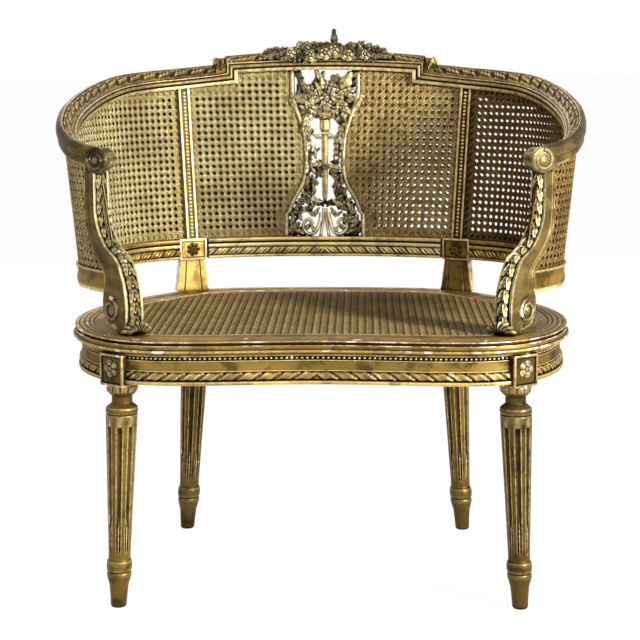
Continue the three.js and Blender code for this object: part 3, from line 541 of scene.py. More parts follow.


# Colours under the gold and in its scratches, and colours of painted shade: in recesses, on sides turned from
# the lamps, and on the hidden side of the cane and where its strands cross
BOLE = (0.2, 0.07, 0.016)
BROWN_BOLE_AND_SHADE = (0.2, 0.085, 0.022)
OCHRE_BOLE = (0.2, 0.115, 0.035)
LEG_BOLE = (0.1, 0.055, 0.013)
ARM_SHADE = (0.11, 0.07, 0.02)
SHADOWED = (0.03, 0.024, 0.011)
TARNISH = (0.04, 0.05, 0.04)
VERDIGRIS = (0.11, 0.1, 0.05)
GESSO = (0.85, 0.78, 0.62)
CANE_SHADE = (0.012, 0.007, 0.003)


def gilt(name, middle, light, dark, worn=0.35, chips=0.0, roughness=0.34, under_and_shade=BOLE):
    """Old water gilding: rubbed edges lightened with wear and painted highlight, brown patina and painted
    shade in the hollows and where parts crowd each other, chips down to the gesso.
    """
    n = Nodes(name)
    edge, hollow, bole_and_shade = (n.attribute(label) for label in ("edge", "hollow", "bole_and_shade"))
    broad, fine, blotch = n.noise(9), n.noise(140, 6), n.noise(34, 5)
    colour = n.mix(n.between(broad, 0.35, 0.7), middle, tuple(0.55 * m for m in middle))
    colour = n.mix(n.times(n.between(blotch, 0.5, 0.62), 0.65), colour, dark)
    # Convex edges are lightened towards the light tone: rubbed wear and painted highlight.
    rubbed_and_painted_highlight = n.times(n.between(edge, 0.12, 0.75), n.between(fine, 0.25, 0.6))
    colour = n.mix(rubbed_and_painted_highlight, colour, light)
    # The per-vertex bole value mixes in the under colour: bare bole on some pieces, painted shade on others.
    bared_and_shaded = n.times(bole_and_shade, n.between(n.noise(55, 5, (0.4, 0.4, 1)), 0.2, 0.6))
    colour = n.mix(bared_and_shaded, colour, under_and_shade)
    green = n.times(n.between(n.noise(22), 0.48, 0.66), worn)
    colour = n.mix(green, colour, VERDIGRIS)
    # Ambient occlusion and hollows darken towards the dark tone: painted shade, with the patina of the
    # hollows.
    near = n.between(n.occlusion(0.009), 0.42, 0.92)
    wide = n.between(n.occlusion(0.03), 0.15, 0.75)
    painted_occlusion_shade = n.math("SUBTRACT", 1.0, n.times(near, n.plus(n.times(wide, 0.55), 0.45)))
    patina_and_painted_shade = n.math("MAXIMUM", n.between(hollow, 0.04, 0.5), painted_occlusion_shade)
    colour = n.mix(patina_and_painted_shade, colour, dark)
    if chips:
        place = n.plus(n.times(n.between(edge, 0.1, 0.6), 0.2), n.noise(42, 8))
        colour = n.mix(n.between(place, 0.86 - chips, 0.88 - chips), colour, GESSO)
    n.link(colour, n.shader.inputs["Base Color"])
    n.shader.inputs["Metallic"].default_value = 0.6
    n.shader.inputs["Specular IOR Level"].default_value = 0.05
    rough = n.plus(roughness, n.times(n.noise(60), 0.22))
    n.link(n.plus(rough, n.times(patina_and_painted_shade, 0.25)), n.shader.inputs["Roughness"])
    n.bump(n.plus(n.times(fine, 0.5), blotch), 0.0006)
    return n.material


def cane(name, middle, light, dark, metal=0.1, back=CANE_SHADE, stains=0.4):
    """Split cane, toned and partly gilded on the side that shows, with painted shade on its hidden side,
    along the edges of its strands and where they cross.
    """
    n = Nodes(name)
    streak, patch = n.noise(300, 3), n.noise(14)
    colour = n.mix(n.between(streak, 0.42, 0.66), middle, light)
    colour = n.mix(n.times(n.between(patch, 0.45, 0.68), 0.5), colour, dark)
    colour = n.mix(n.times(n.between(n.noise(120, 3), 0.5, 0.6), stains), colour, dark)
    # The per-vertex value mixes in the back colour: painted shade on the hidden side and the edges of the
    # strands.
    colour = n.mix(n.between(n.attribute("bole_and_shade"), 0.1, 0.8), colour, back)
    # Painted shade where the strands cross and crowd each other.
    colour = n.mix(n.math("SUBTRACT", 1.0, n.between(n.occlusion(0.004), 0.38, 0.86)), colour, CANE_SHADE)
    n.link(colour, n.shader.inputs["Base Color"])
    n.shader.inputs["Metallic"].default_value = metal
    n.shader.inputs["Specular IOR Level"].default_value = 0.08
    n.link(n.plus(0.32, n.times(streak, 0.3)), n.shader.inputs["Roughness"])
    n.bump(streak, 0.0003, 0.4)
    return n.material


def beech(name):
    n = Nodes(name)
    grain = n.noise(60, 5, (0.15, 0.15, 1))
    n.link(n.mix(grain, (0.42, 0.27, 0.14), (0.25, 0.15, 0.07)), n.shader.inputs["Base Color"])
    n.shader.inputs["Roughness"].default_value = 0.75
    n.bump(grain, 0.0005)
    return n.material


# Each material: its name, then the middle, the light and the dark tone
PALE = gilt(
    "gilt_pale", (0.64, 0.42, 0.09), (1.0, 0.84, 0.44), (0.016, 0.008, 0.003),
    worn=0.1, chips=0.06, under_and_shade=OCHRE_BOLE,
)
CHIPPED = gilt(
    "gilt_chipped", (0.38, 0.23, 0.045), (0.95, 0.72, 0.34), (0.022, 0.01, 0.003),
    worn=0.3, chips=0.16, under_and_shade=BROWN_BOLE_AND_SHADE,
)
DEEP = gilt(
    "gilt_deep", (0.38, 0.22, 0.032), (1.0, 0.76, 0.32), (0.016, 0.008, 0.002), worn=0.15, under_and_shade=OCHRE_BOLE,
)
# Lit and shaded copies of the post gilding: painted light on the left post and its foot, painted shade on the
# right post.
LIT_POST = gilt("gilt_post_lit", (0.9, 0.62, 0.16), (1.0, 0.92, 0.55), (0.16, 0.09, 0.025), worn=0.05)
SHADED_POST = gilt("gilt_post_shaded", (0.34, 0.21, 0.05), (1.0, 0.72, 0.38), (0.02, 0.01, 0.003), worn=0.1)
# A bright gilding for the middle low rail: painted light where the lamp glares on it.
LIT_LOW = gilt("gilt_low_lit", (0.95, 0.66, 0.2), (1.0, 0.93, 0.6), (0.02, 0.01, 0.003), worn=0.1)
CARVED = gilt(
    "gilt_carved", (0.72, 0.5, 0.16), (1.0, 0.93, 0.62), (0.01, 0.006, 0.003),
    worn=0.2, chips=0.05, under_and_shade=SHADOWED,
)
# Lit and shaded copies of the leg gilding: the shaded one paints shade on the right front leg and both rear
# legs.
LIT_LEG = gilt(
    "gilt_leg_lit", (0.23, 0.14, 0.027), (1.0, 0.78, 0.38), (0.01, 0.005, 0.002),
    worn=0.25, chips=0.07, roughness=0.25, under_and_shade=LEG_BOLE,
)
SHADED_LEG = gilt(
    "gilt_leg_shaded", (0.14, 0.085, 0.018), (0.9, 0.66, 0.3), (0.01, 0.005, 0.002),
    worn=0.25, chips=0.06, roughness=0.25, under_and_shade=LEG_BOLE,
)
ARM = gilt(
    "gilt_arm", (0.38, 0.25, 0.06), (1.0, 0.88, 0.5), (0.01, 0.005, 0.002),
    worn=0.3, chips=0.04, under_and_shade=ARM_SHADE,
)
RAIL = gilt(
    "gilt_rail", (0.32, 0.2, 0.042), (1.0, 0.8, 0.42), (0.024, 0.01, 0.005), worn=0.3, under_and_shade=SHADOWED,
)
WORN = gilt(
    "gilt_worn", (0.5, 0.36, 0.12), (1.0, 0.88, 0.56), (0.012, 0.008, 0.004),
    worn=0.6, chips=0.02, roughness=0.4, under_and_shade=TARNISH,
)
SEAT_CANE = cane("cane_seat", (0.72, 0.47, 0.17), (0.95, 0.7, 0.33), (0.35, 0.2, 0.07), metal=0.0)
# Lit and shaded copies of the back cane: painted light on the left panels, painted shade on the right ones.
LIT_BACK_CANE = cane("cane_back", (1.0, 0.74, 0.25), (1.0, 0.92, 0.48), (0.26, 0.12, 0.025))
SHADED_CANE = cane(
    "cane_shaded", (0.66, 0.43, 0.13), (1.0, 0.8, 0.4), (0.14, 0.065, 0.016),
    back=(0.16, 0.1, 0.033), stains=0.6,
)
DEEP_SHADED_CANE = cane("cane_deep_shaded", (0.25, 0.14, 0.035), (0.5, 0.31, 0.1), (0.06, 0.03, 0.01))
BEECH = beech("bare_beech")


# Seat

def rim_section():
    """Insets and heights of the moulded rim, from its lower side round to the rebate of the cane."""
    top, bead = SEAT_HEIGHT, SEAT_HEIGHT - 15
    inner = RIM_WIDTH - CANE_REBATE
    corners = [
        (RIM_WIDTH, RIM_BOTTOM), (9, RIM_BOTTOM), (9, bead - 5.5), (2, bead - 5.2), (0, bead - 2.7),
        (1, bead - 0.3), (4, bead), (4, top - 8.5), (8.5, top - 8), (8.5, top - 4.6), (3.6, top - 4.2),
        (3.2, top - 2.2), (6.5, top - 1.5), (10, top - 1.5), (11, top - 2.8), (12, top - 0.8), (15, top),
        (18, top - 0.6), (19, top - 2.2), (20, top - 0.4), (23, top + 0.5), (26, top - 0.4), (27, top - 2.2),
        (28, top - 0.8), (31, top), (33, top - 1), (34, top - 2.6), (35, top - 1.5), (inner - 6, top - 1.5),
        (inner - 3, top), (inner - 0.5, top - 0.6), (inner, top - 4.5), (RIM_WIDTH, top - 4.5),
    ]
    return rounded(corners, 1)


def stretches(front, rear, gap):
    """Where the front, rear and side parts start and end, as shares of the seat outline."""
    return {
        "front": (-front + gap, front - gap), "side_right": (front + gap, rear - gap),
        "rear": (rear + gap, 1 - rear - gap), "side_left": (1 - rear + gap, 1 - front - gap),
    }.items()


def rim_pieces():
    section = rim_section()
    heights, insets = section[:, 1], section[:, 0]
    face = (insets > 3) & (insets < 6) & (heights < SEAT_HEIGHT - 7) & (heights > SEAT_HEIGHT - 14)
    # The band under the top lip and the top surface are mixed towards the brown bole: painted shade under the
    # lip and on the lit top, with the reddish bole of the fascia.
    tone = np.where(face, 0.45, np.where(heights > SEAT_HEIGHT - 5, 0.4, 0.0))
    for name, (start, end) in stretches(*RIM_JOINTS, RIM_GAP / SEAT_LENGTH):
        form = Form()
        shares = np.linspace(start, end, int((end - start) * SEAT_LENGTH / 6))
        form.loft(along_seat(section, shares), bole_and_shade=tone)
        piece(form, f"seat_rim_{name}", CHIPPED)


def ribbon_rings(shares, lean):
    """A flat ribbon wound round a rod: the turns lean one way on each half of the front."""
    centre = (RAIL_INSET + 1.5, RAIL_BOTTOM + 13)
    angle = np.linspace(0, TAU, 24, endpoint=False)
    run = shares[:, None] * SEAT_LENGTH
    twist = (run / RIBBON_PITCH + lean * 0.3 * np.sin(angle)) % 1
    turn = plateau(twist, 0, 0.86, 0.06)
    dish = 0.12 * np.exp(-((twist - 0.42) / 0.16) ** 2)
    radius = 1 - 0.34 * (1 - turn) - dish * turn
    section = np.stack([
        centre[0] - 7.2 * radius * np.sign(np.cos(angle)) * np.abs(np.cos(angle)) ** 0.6,
        centre[1] + 6.4 * radius * np.sign(np.sin(angle)) * np.abs(np.sin(angle)) ** 0.7,
    ], axis=-1)
    return along_seat(section, shares)


def rail_piece(start, end):
    """One seat rail: its moulded section, the ribbon and the string of pearls."""
    face, bottom, top = RAIL_INSET, RAIL_BOTTOM, RAIL_TOP
    back = face + RAIL_THICKNESS
    section = rounded([
        (back, top), (back, bottom), (face - 6.5, bottom), (face - 7, bottom + 1.5), (face - 7, bottom + 5),
        (face - 5.5, bottom + 6), (face, bottom + 6.4), (face, bottom + 19.6), (face - 2, bottom + 20),
        (face - 2, bottom + 21.2), (face - 1, bottom + 22), (face - 1, bottom + 35.4),
        (face - 1.8, bottom + 36), (face - 1.8, bottom + 37), (face + 1.5, bottom + 37.4), (face + 1.5, top),
    ], 0.7, 2)
    insets, heights = section.T
    ground = (insets > face + 0.5) & (insets < face + 3) & (heights > bottom + 37)
    form = Form()
    count = int((end - start) * SEAT_LENGTH)
    form.loft(along_seat(section, np.linspace(start, end, count // 7)), bole_and_shade=ground * 1.0)
    cuts = [start, *(middle for middle in (0, 0.5) if start < middle < end), end]
    for a, b in zip(cuts, cuts[1:]):
        lean = -1 if (a + b) / 2 % 1 > 0.5 else 1
        form.loft(ribbon_rings(np.linspace(a, b, int((b - a) * SEAT_LENGTH / 1.6)), lean), bole_and_shade=0.8)
    origin, along, out = seat_frames(np.linspace(start, end, int(count / PEARL_PITCH)))
    origin = origin - out * (face + 0.2) + UP * (top - 3.2)
    form.scatter(PEARL, origin, frame_axes(along, out), (2.5, 2.4, 2.8))
    return form


def rail_pieces():
    for name, (start, end) in stretches(FRONT_LEG_SHARE, REAR_LEG_SHARE, BLOCK_WIDTH / 2 / SEAT_LENGTH):
        piece(rail_piece(start, end), f"seat_rail_{name}", PALE if name == "front" else DEEP)


# Small carved shapes

def block_shape(width, depth, height, border=4.5, sink=1.6):
    """A block with a sunk panel on each side, and softened edges."""
    work = bmesh.new()
    bmesh.ops.create_cube(work, size=1)
    for vert in work.verts:
        vert.co = (vert.co.x * width, vert.co.y * depth, vert.co.z * height)
    bmesh.ops.bevel(work, geom=list(work.edges), offset=1, segments=2, profile=0.5, affect="EDGES")
    least = height * min(width, depth) * 0.6
    sides = [face for face in work.faces if face.calc_area() > least and abs(face.normal.z) < 0.5]
    bmesh.ops.inset_individual(work, faces=sides, thickness=border, depth=0)
    bmesh.ops.inset_individual(work, faces=sides, thickness=1.2, depth=-sink)
    for step in (1.0, 1.5, 2.0):
        bmesh.ops.inset_individual(work, faces=sides, thickness=step, depth=0)
    work.verts.ensure_lookup_table()
    verts = np.array([vert.co for vert in work.verts])
    by_size = {}
    for face in work.faces:
        by_size.setdefault(len(face.verts), []).append([vert.index for vert in face.verts])
    work.free()
    return verts, [np.array(group) for group in by_size.values()]


def flower_shape(petals=5, rings=8, open_share=0.3):
    """A flower of unit radius that faces +Z, with a button in the middle."""
    angle = circle(petals * 8)
    petal = np.abs(np.cos(petals * angle / 2)) ** 0.7
    outline = (1 - open_share) + open_share * petal
    loops = []
    for i, r in enumerate(np.linspace(0.04, 1, rings)):
        cup = np.sin(np.pi * min(r * 1.15, 1)) ** 0.8
        height = 0.2 + 0.42 * cup * (0.45 + 0.55 * petal) - 0.18 * np.exp(-((r - 0.32) / 0.09) ** 2)
        height += 0.35 * math.exp(-(r / 0.2) ** 2)
        reach = r if i < rings - 3 else r * outline
        loops.append(np.stack([reach * np.cos(angle), reach * np.sin(angle), height + 0 * angle], axis=1))
    loops.append(loops[-1] * (0.96, 0.96, 0) + (0, 0, -0.25))
    holder = Form()
    holder.loft(loops)
    return np.vstack(holder.verts), holder.faces


def leaf_shape(lobes=4, stations=15, across=9, curl=0.12, blunt=0.75):
    """A carved leaf of unit length along +X, that faces +Z."""
    t = np.linspace(0, 1, stations)[:, None]
    side = np.linspace(-1, 1, across)
    half = 0.5 * np.sin(np.pi * np.clip(t, 0.02, 0.985) ** 0.75) ** blunt
    notch = 1 - 0.3 * np.abs(np.sin(np.pi * lobes * t)) ** 3
    x = t - 0.08 * np.abs(side) * np.sin(np.pi * t)
    y = half * np.where(t < 0.92, notch, 1) * side
    dome = (1 - 0.75 * side**2) * np.sin(np.pi * np.clip(t, 0.05, 0.97)) ** 0.5
    vein = 0.18 * np.cos(TAU * lobes * (t + 0.16 * np.abs(side))) * np.abs(side)
    rib = 0.22 * np.exp(-(side / 0.14) ** 2)
    rise = curl * (t ** 2) * 4
    upper = np.stack([x, y, 0.5 * dome + vein * dome + rib * dome + rise], axis=-1)
    lower = np.stack([x, y * 0.94, rise - 0.3 + 0 * y], axis=-1)
    holder = Form()
    holder.loft(np.concatenate([upper, lower[:, ::-1]], axis=1))
    return np.vstack(holder.verts), holder.faces


FLOWER = flower_shape()
DAISY = flower_shape(petals=7)
LEAF = leaf_shape()
ROUND_LEAF = leaf_shape(lobes=3, blunt=0.45)
BUD = leaf_shape(lobes=2, stations=9, across=7, curl=0.0, blunt=0.5)


# Legs

def leg_block_frame(share):
    """The middle of a leg's block, level with the floor, and its two directions."""
    origin, along, out = first(seat_frames(share))
    return origin - out * (BLOCK_INSET + BLOCK_WIDTH / 2), along, out


def leg_rings(splay, segments=128):
    """A turned and fluted leg round its own axis, with its foot moved aside by the splay."""
    profile = np.array([(z * LEG_HEIGHT, r * LEG_RADIUS) for z, r in LEG_SHARES])
    line = rounded(profile, 1.5, 3, closed=False)
    long = np.linalg.norm(np.diff(line, axis=0), axis=1) > 20
    stations = []
    for start, end, is_long in zip(line, line[1:], long):
        steps = 36 if is_long else 1
        stations += [start + (end - start) * k / steps for k in range(steps)]
    line = np.array(stations + [line[-1]])
    height, radius = line[:, :1], line[:, 1:]
    angle = circle(segments)
    bottom, top = (share * LEG_HEIGHT for share in FLUTE_SHARES)
    offset = (angle * FLUTES / TAU + 0.5) % 1 - 0.5
    groove = np.sqrt(np.clip(1 - (offset / 0.25) ** 2, 0, 1))
    ends = plateau(height, bottom, top, 5)
    tongue = np.sqrt(np.clip(1 - (offset / 0.13) ** 2, 0, 1)) * np.clip((bottom + 62 - height) / 22, 0, 1)
    carved = radius - FLUTE_DEPTH * ends * (groove - 0.8 * tongue)
    collar = np.exp(-((height / LEG_HEIGHT - 0.985) / 0.011) ** 2)
    carved = carved - 1.2 * collar * (np.abs(np.sin(6 * angle)) < 0.35)
    carved = np.clip(carved, 0, None) * np.sign(radius)
    lean = 1 - height / LEG_HEIGHT
    x, y = carved * np.cos(angle) + splay[0] * lean, carved * np.sin(angle) + splay[1] * lean
    return np.stack([x, y, height + 0 * angle], axis=-1)


def leg(share, splay):
    origin, _, out = leg_block_frame(share)
    form = Form()
    form.loft(leg_rings(splay) + origin)
    height = RAIL_TOP - LEG_HEIGHT
    shape = block_shape(BLOCK_WIDTH, BLOCK_WIDTH, height)
    axes = np.stack([np.cross(UP, out) * -1, out, UP])
    form.scatter(shape, [origin + UP * (LEG_HEIGHT + height / 2)], [axes], 1, 0.5)
    return form


def leg_pieces():
    # Painted light on the left front leg, painted shade on the other legs.
    pair(leg(FRONT_LEG_SHARE, FRONT_SPLAY), "leg_front", SHADED_LEG, left=LIT_LEG)
    pair(leg(REAR_LEG_SHARE, REAR_SPLAY), "leg_rear", SHADED_LEG)
    origin, _, out = leg_block_frame(FRONT_LEG_SHARE)
    place = origin + out * (BLOCK_WIDTH / 2 - 1.8) + UP * (RAIL_TOP - 22)
    form = Form()
    # The rosette is darkened half way to the tarnish colour: painted shade.
    form.scatter(FLOWER, [place], [np.stack([np.cross(UP, out), UP, out])], (13.5, 13.5, 7), 0.5)
    pair(form, "rosette_front", WORN)


# Cane

def strand_rings(points, normals, width, thickness):
    """Four corners of a flat strand at each point of its path."""
    aside = unit(np.cross(unit(np.gradient(points, axis=0)), normals)) * width / 2
    above = normals * thickness / 2
    return np.stack([points - aside, points + above, points + aside, points - above], axis=1)


def kept_spans(kept):
    """Start and end of each unbroken span of what is kept."""
    steps = np.flatnonzero(np.diff(np.concatenate([[0], kept.astype(int), [0]])))
    return zip(steps[::2], steps[1::2])


# Per corner of a strand, how far it is darkened: painted shade on its two edges and on its hidden side.
STRAND_SHADES = np.array((0.55, 0.0, 0.55, 1.0))


def weave(
    form, surface, inside, reach, pitch=(PITCH, PITCH), phase=(0.0, 0.0), widths=STRANDS, tint=0.0, thick=0.9,
):
    """Six-way cane: pairs up and across, and single strands on the slant that cut the corners of the holes.

    surface(u, v) gives points and normals, inside(u, v) says what is kept, and reach is the
    range (u0, u1, v0, v1) that is woven, all in millimetres. The widths are those of the straight
    and the slanted strands. tint darkens all but the upright pairs, and the left and lower strand of
    each pair and one way of the slanted ones are a little darker too: both are painted shade.
    """
    u0, u1, v0, v1 = reach
    straight, slanted = widths
    lift = thick * 0.55
    fine_u, fine_v = np.arange(u0, u1, 1.0), np.arange(v0, v1, 1.0)
    lines = []
    for k in range(math.floor(u0 / pitch[0]), math.ceil(u1 / pitch[0]) + 1):
        for member in (-1, 1):
            u = np.full_like(fine_v, (k + phase[0]) * pitch[0] + member * PAIR_SPREAD)
            wave = member * np.cos(np.pi * (fine_v / pitch[1] - phase[1]))
            lines.append((u, fine_v, wave, pitch[1] / 2, straight, PAIR_TONES[member]))
    for k in range(math.floor(v0 / pitch[1]), math.ceil(v1 / pitch[1]) + 1):
        for member in (-1, 1):
            v = np.full_like(fine_u, (k + phase[1]) * pitch[1] + member * PAIR_SPREAD)
            wave = -member * np.cos(np.pi * (fine_u / pitch[0] - phase[0]))
            lines.append((fine_u, v, wave, pitch[0] / 2, straight, tint + PAIR_TONES[member]))
    slope = pitch[1] / pitch[0]
    count = math.ceil((v1 - v0 + slope * (u1 - u0)) / pitch[1]) + 2
    for way in (-1, 1):
        for k in range(-count, count):
            v = (k + 0.5 + phase[1]) * pitch[1] + way * slope * (fine_u - phase[0] * pitch[0])
            wave = 1.2 + 0.8 * way * np.cos(TAU * (fine_u / pitch[0] - phase[0]))
            lines.append((fine_u, v, wave, pitch[0] / 4, slanted, tint + PAIR_TONES[way]))
    for u, v, wave, spacing, broad, shade in lines:
        kept = inside(u, v) & (v >= v0) & (v <= v1)
        for start, end in kept_spans(kept):
            if end - start < LEAST_STRAND:
                continue
            stations = max(2, int(round((end - start) / spacing)) + 1)
            pick = np.linspace(start, end - 1, stations).round().astype(int)
            points, normals = surface(u[pick], v[pick])
            points = points + normals * (wave[pick] * lift)[:, None]
            rings = strand_rings(points, normals, broad, thick)
            form.loft(rings, bole_and_shade=np.minimum(STRAND_SHADES + shade, 1), caps=False)


def seat_cane():
    """The flat cane of the seat, cut to the rebate of the rim, and the cord that covers its edge."""
    level = SEAT_HEIGHT - 3
    shares = np.linspace(0, 1, 400, endpoint=False)
    origin, _, out = seat_frames(shares)
    edge = (origin - out * (RIM_WIDTH - CANE_REBATE + 4))[:, :2]

    def inside(u, v):
        hits = np.zeros(len(u), bool)
        for (x0, y0), (x1, y1) in zip(edge, np.roll(edge, -1, axis=0)):
            crosses = (y0 > v) != (y1 > v)
            if crosses.any():
                hits ^= crosses & (u < (x1 - x0) * (v - y0) / (y1 - y0 + 1e-12) + x0)
        return hits

    def surface(u, v):
        points = np.stack([u, v, np.full_like(u, level)], axis=1)
        return points, np.broadcast_to(UP, points.shape)

    form = Form()
    reach = (-350, 350, -265, 215)
    # tint paints shade on the strands across and on the slant.
    weave(form, surface, inside, reach, phase=(0.5, 0.0), widths=(2.7, 2.6), tint=0.2, thick=1.2)
    ring = arc((RIM_WIDTH - CANE_REBATE + 3.2, level + 0.4), (2.8, 1.9), 0, 360, 11)[:-1]
    form.loft(along_seat(ring, np.append(shares, 1.0)), caps=False)
    piece(form, "seat_cane", SEAT_CANE)


SPLAT_HALF = 73
SPLAT_BOTTOM = LOW_RAIL_Z + LOW_RAIL_HEIGHT / 2
SPLAT_TOP = SEAT_HEIGHT + TOP_RISE + CREST_RISE - TOP_RAIL_HEIGHT / 2
SPLAT_EDGE = [
    (0, 1), (0.14, 1), (0.145, 0.93), (0.22, 0.83), (0.3, 0.62), (0.36, 0.53), (0.42, 0.5), (0.52, 0.51),
    (0.6, 0.54), (0.68, 0.63), (0.75, 0.74), (0.82, 0.85), (0.88, 0.87), (1, 0.87),
]


def splat_half(height):
    """Half the width of the splat at a height."""
    share = (np.asarray(height) - SPLAT_BOTTOM) / (SPLAT_TOP - SPLAT_BOTTOM)
    shares, widths = np.array(SPLAT_EDGE).T
    return SPLAT_HALF * np.interp(share, shares, widths)


def cane_panel(start, end, outward):
    """One panel between two runs of the back: its surface, what lies inside it, and its length."""
    dense = np.linspace(start, end, 500)
    low, _, out = back_frames(LOW_POINTS, dense)
    top, _, top_out = back_frames(TOP_POINTS, dense)
    length = distances((low + out * outward + top + top_out * outward) / 2)
    bottom = SPLAT_BOTTOM - 1
    way = 1 if outward > 0 else -1

    def ceiling(runs):
        crest = np.where(np.abs(runs) < CREST_JOG, CREST_RISE, 0)
        return back_frames(TOP_POINTS, runs)[0][:, 2] - TOP_RAIL_HEIGHT / 2 + crest + 1

    def surface(u, v):
        points, normals = wrap_points(np.interp(u, length, dense), bottom + v, outward)
        return points, normals * way

    def inside(u, v, margin=0.0):
        runs = np.interp(u, length, dense)
        kept = (u > 0.5 + margin) & (u < length[-1] - 0.5 - margin)
        kept &= (bottom + v < ceiling(runs) - margin) & (v > margin)
        points, _ = wrap_points(runs, bottom + v, outward)
        return kept & (np.abs(points[:, 0]) > splat_half(bottom + v) - 2 + margin)

    return surface, inside, length[-1]


def margin_strips(form, start, end):
    """The wood of the frame that the cane is laced over, seen through the outermost holes."""
    surface, inside, length = cane_panel(start, end, 0.0)
    cell = 4.0
    across, up = np.arange(0, length, cell), np.arange(0, 300, cell)
    for u in across:
        centre = np.full_like(up, u + cell / 2)
        strip = inside(centre, up + cell / 2) & ~inside(centre, up + cell / 2, CANE_MARGIN)
        for low, high in kept_spans(strip):
            v = np.linspace(up[low], up[high - 1] + cell, 3)
            left, normals = surface(np.full_like(v, u), v)
            right, _ = surface(np.full_like(v, min(u + cell, length)), v)
            rings = np.stack([left - normals, right - normals, right + normals, left + normals], axis=1)
            form.loft(rings, bole_and_shade=0.55)


PANELS = {"back": (0.015, POST_RUN - 0.008), "arm": (POST_RUN + 0.008, 0.992)}
INNER_PHASES = {"back": (0.3, 0.2), "arm": (0.2, 0.1)}


def back_cane_pieces():
    """Two layers of each panel: material, inner strand widths, then outer pitch, phase and strand widths.

    The two layers of the right-hand back panel drift apart, so its holes are open only low down at the post.
    """
    # The left panels take the lit cane and the right ones the shaded copies: painted light and shade.
    weaves = {
        ("back", "right"): (SHADED_CANE, (2.35, 2.15), (12.5, 12.2), (0.586, 0.15), (3.6, 3.3)),
        ("back", "left"): (LIT_BACK_CANE, STRANDS, (11.9, 11.9), (0.83, 0.73), WIDE_STRANDS),
        ("arm", "right"): (DEEP_SHADED_CANE, (3.1, 2.9), (11.45, 12.0), (0.05, 0.05), (2.6, 2.4)),
        ("arm", "left"): (LIT_BACK_CANE, STRANDS, (11.5, 11.9), (0.6, 0.6), WIDE_STRANDS),
    }
    for (panel, side), (material, inner_widths, outer_pitch, outer_phase, outer_widths) in weaves.items():
        start, end = PANELS[panel]
        layers = {
            "inner": (-LAYER_OFFSET, (PITCH, PITCH), INNER_PHASES[panel], inner_widths),
            "outer": (LAYER_OFFSET, outer_pitch, outer_phase, outer_widths),
        }
        for layer, (outward, pitch, phase, widths) in layers.items():
            surface, inside, length = cane_panel(start, end, outward)
            form = Form()
            weave(form, surface, inside, (0, length, 0, 320), pitch, phase, widths)
            if layer == "outer":
                margin_strips(form, start, end)
            name = f"cane_{panel}_{layer}_{side}"
            piece(form if side == "right" else form.mirrored(), name, material)


# Rails of the back

BAND_PITCH = 32
LOW_BAND_PITCH = 25.5
JOINT_GAP = 0.0005


def pattern_lengths(points, runs):
    """Distance of each run from the middle of the back, so that a carved pattern mirrors there."""
    dense = np.linspace(-1, 1, 2001)
    length = run_lengths(points, dense)
    return np.abs(np.interp(runs, dense, length - length[1000]))


def low_rail_rings(runs, lengths):
    """The moulded section of the low rail, with a band of leaves on its inner face."""
    high = LOW_RAIL_HEIGHT / 2
    face = 11
    base = rounded([
        (-face, -high), (-face - 1.5, -high + 1), (-face - 1.5, -high + 4), (-face, -high + 5.5),
    ], 0.8, 2, closed=False)
    band = arc((-face + 1, -high + 12), (4.2, 6.2), -90, -270, 13)
    upper = rounded([
        (-face, high - 16), (-face - 1.4, high - 15), (-face - 1.4, high - 9.6), (-face + 1.4, high - 9),
        (-face + 1.4, high - 6.6), (-face - 1, high - 6), (-face - 1.5, high - 3), (-face - 1, high - 0.5),
        (-face, high), (face, high), (face, high - 3), (face - 2, high - 5), (face - 3.5, high - 12),
        (face - 1.5, -high * 0.2), (face - 2, -high * 0.6), (face - 4, -high),
    ], 0.8, 2, closed=False)
    section = np.vstack([base, band, upper])
    rings = np.broadcast_to(section, (len(runs), *section.shape)).copy()
    angle = np.linspace(-1, 1, len(band))
    leaf = (lengths[:, None] / LOW_BAND_PITCH + 0.3 * angle) % 1
    raised = plateau(leaf, 0, 0.86, 0.06)
    hook = 0.3 * np.sin(3 * TAU * leaf + 1.5 * angle) - 0.25 * np.exp(-((leaf - 0.3) / 0.07) ** 2)
    depth = 2.6 * (1 - raised * (0.85 + hook)) * np.sqrt(np.clip(1 - (angle * 0.9) ** 2, 0, 1))
    rings[:, len(base):len(base) + len(band), 0] += depth
    return rings


def low_rail_form(start, end):
    runs = even_runs(LOW_POINTS, start, end, 1.5)
    form = Form()
    form.loft(along_back(LOW_POINTS, low_rail_rings(runs, pattern_lengths(LOW_POINTS, runs)), runs))
    return form


def low_rail_pieces():
    edge, end = 0.0305, 0.985
    piece(low_rail_form(edge - POST_RUN, POST_RUN - edge), "low_rail_back", LIT_LOW)
    pair(low_rail_form(POST_RUN + edge, end), "low_rail_arm", DEEP)


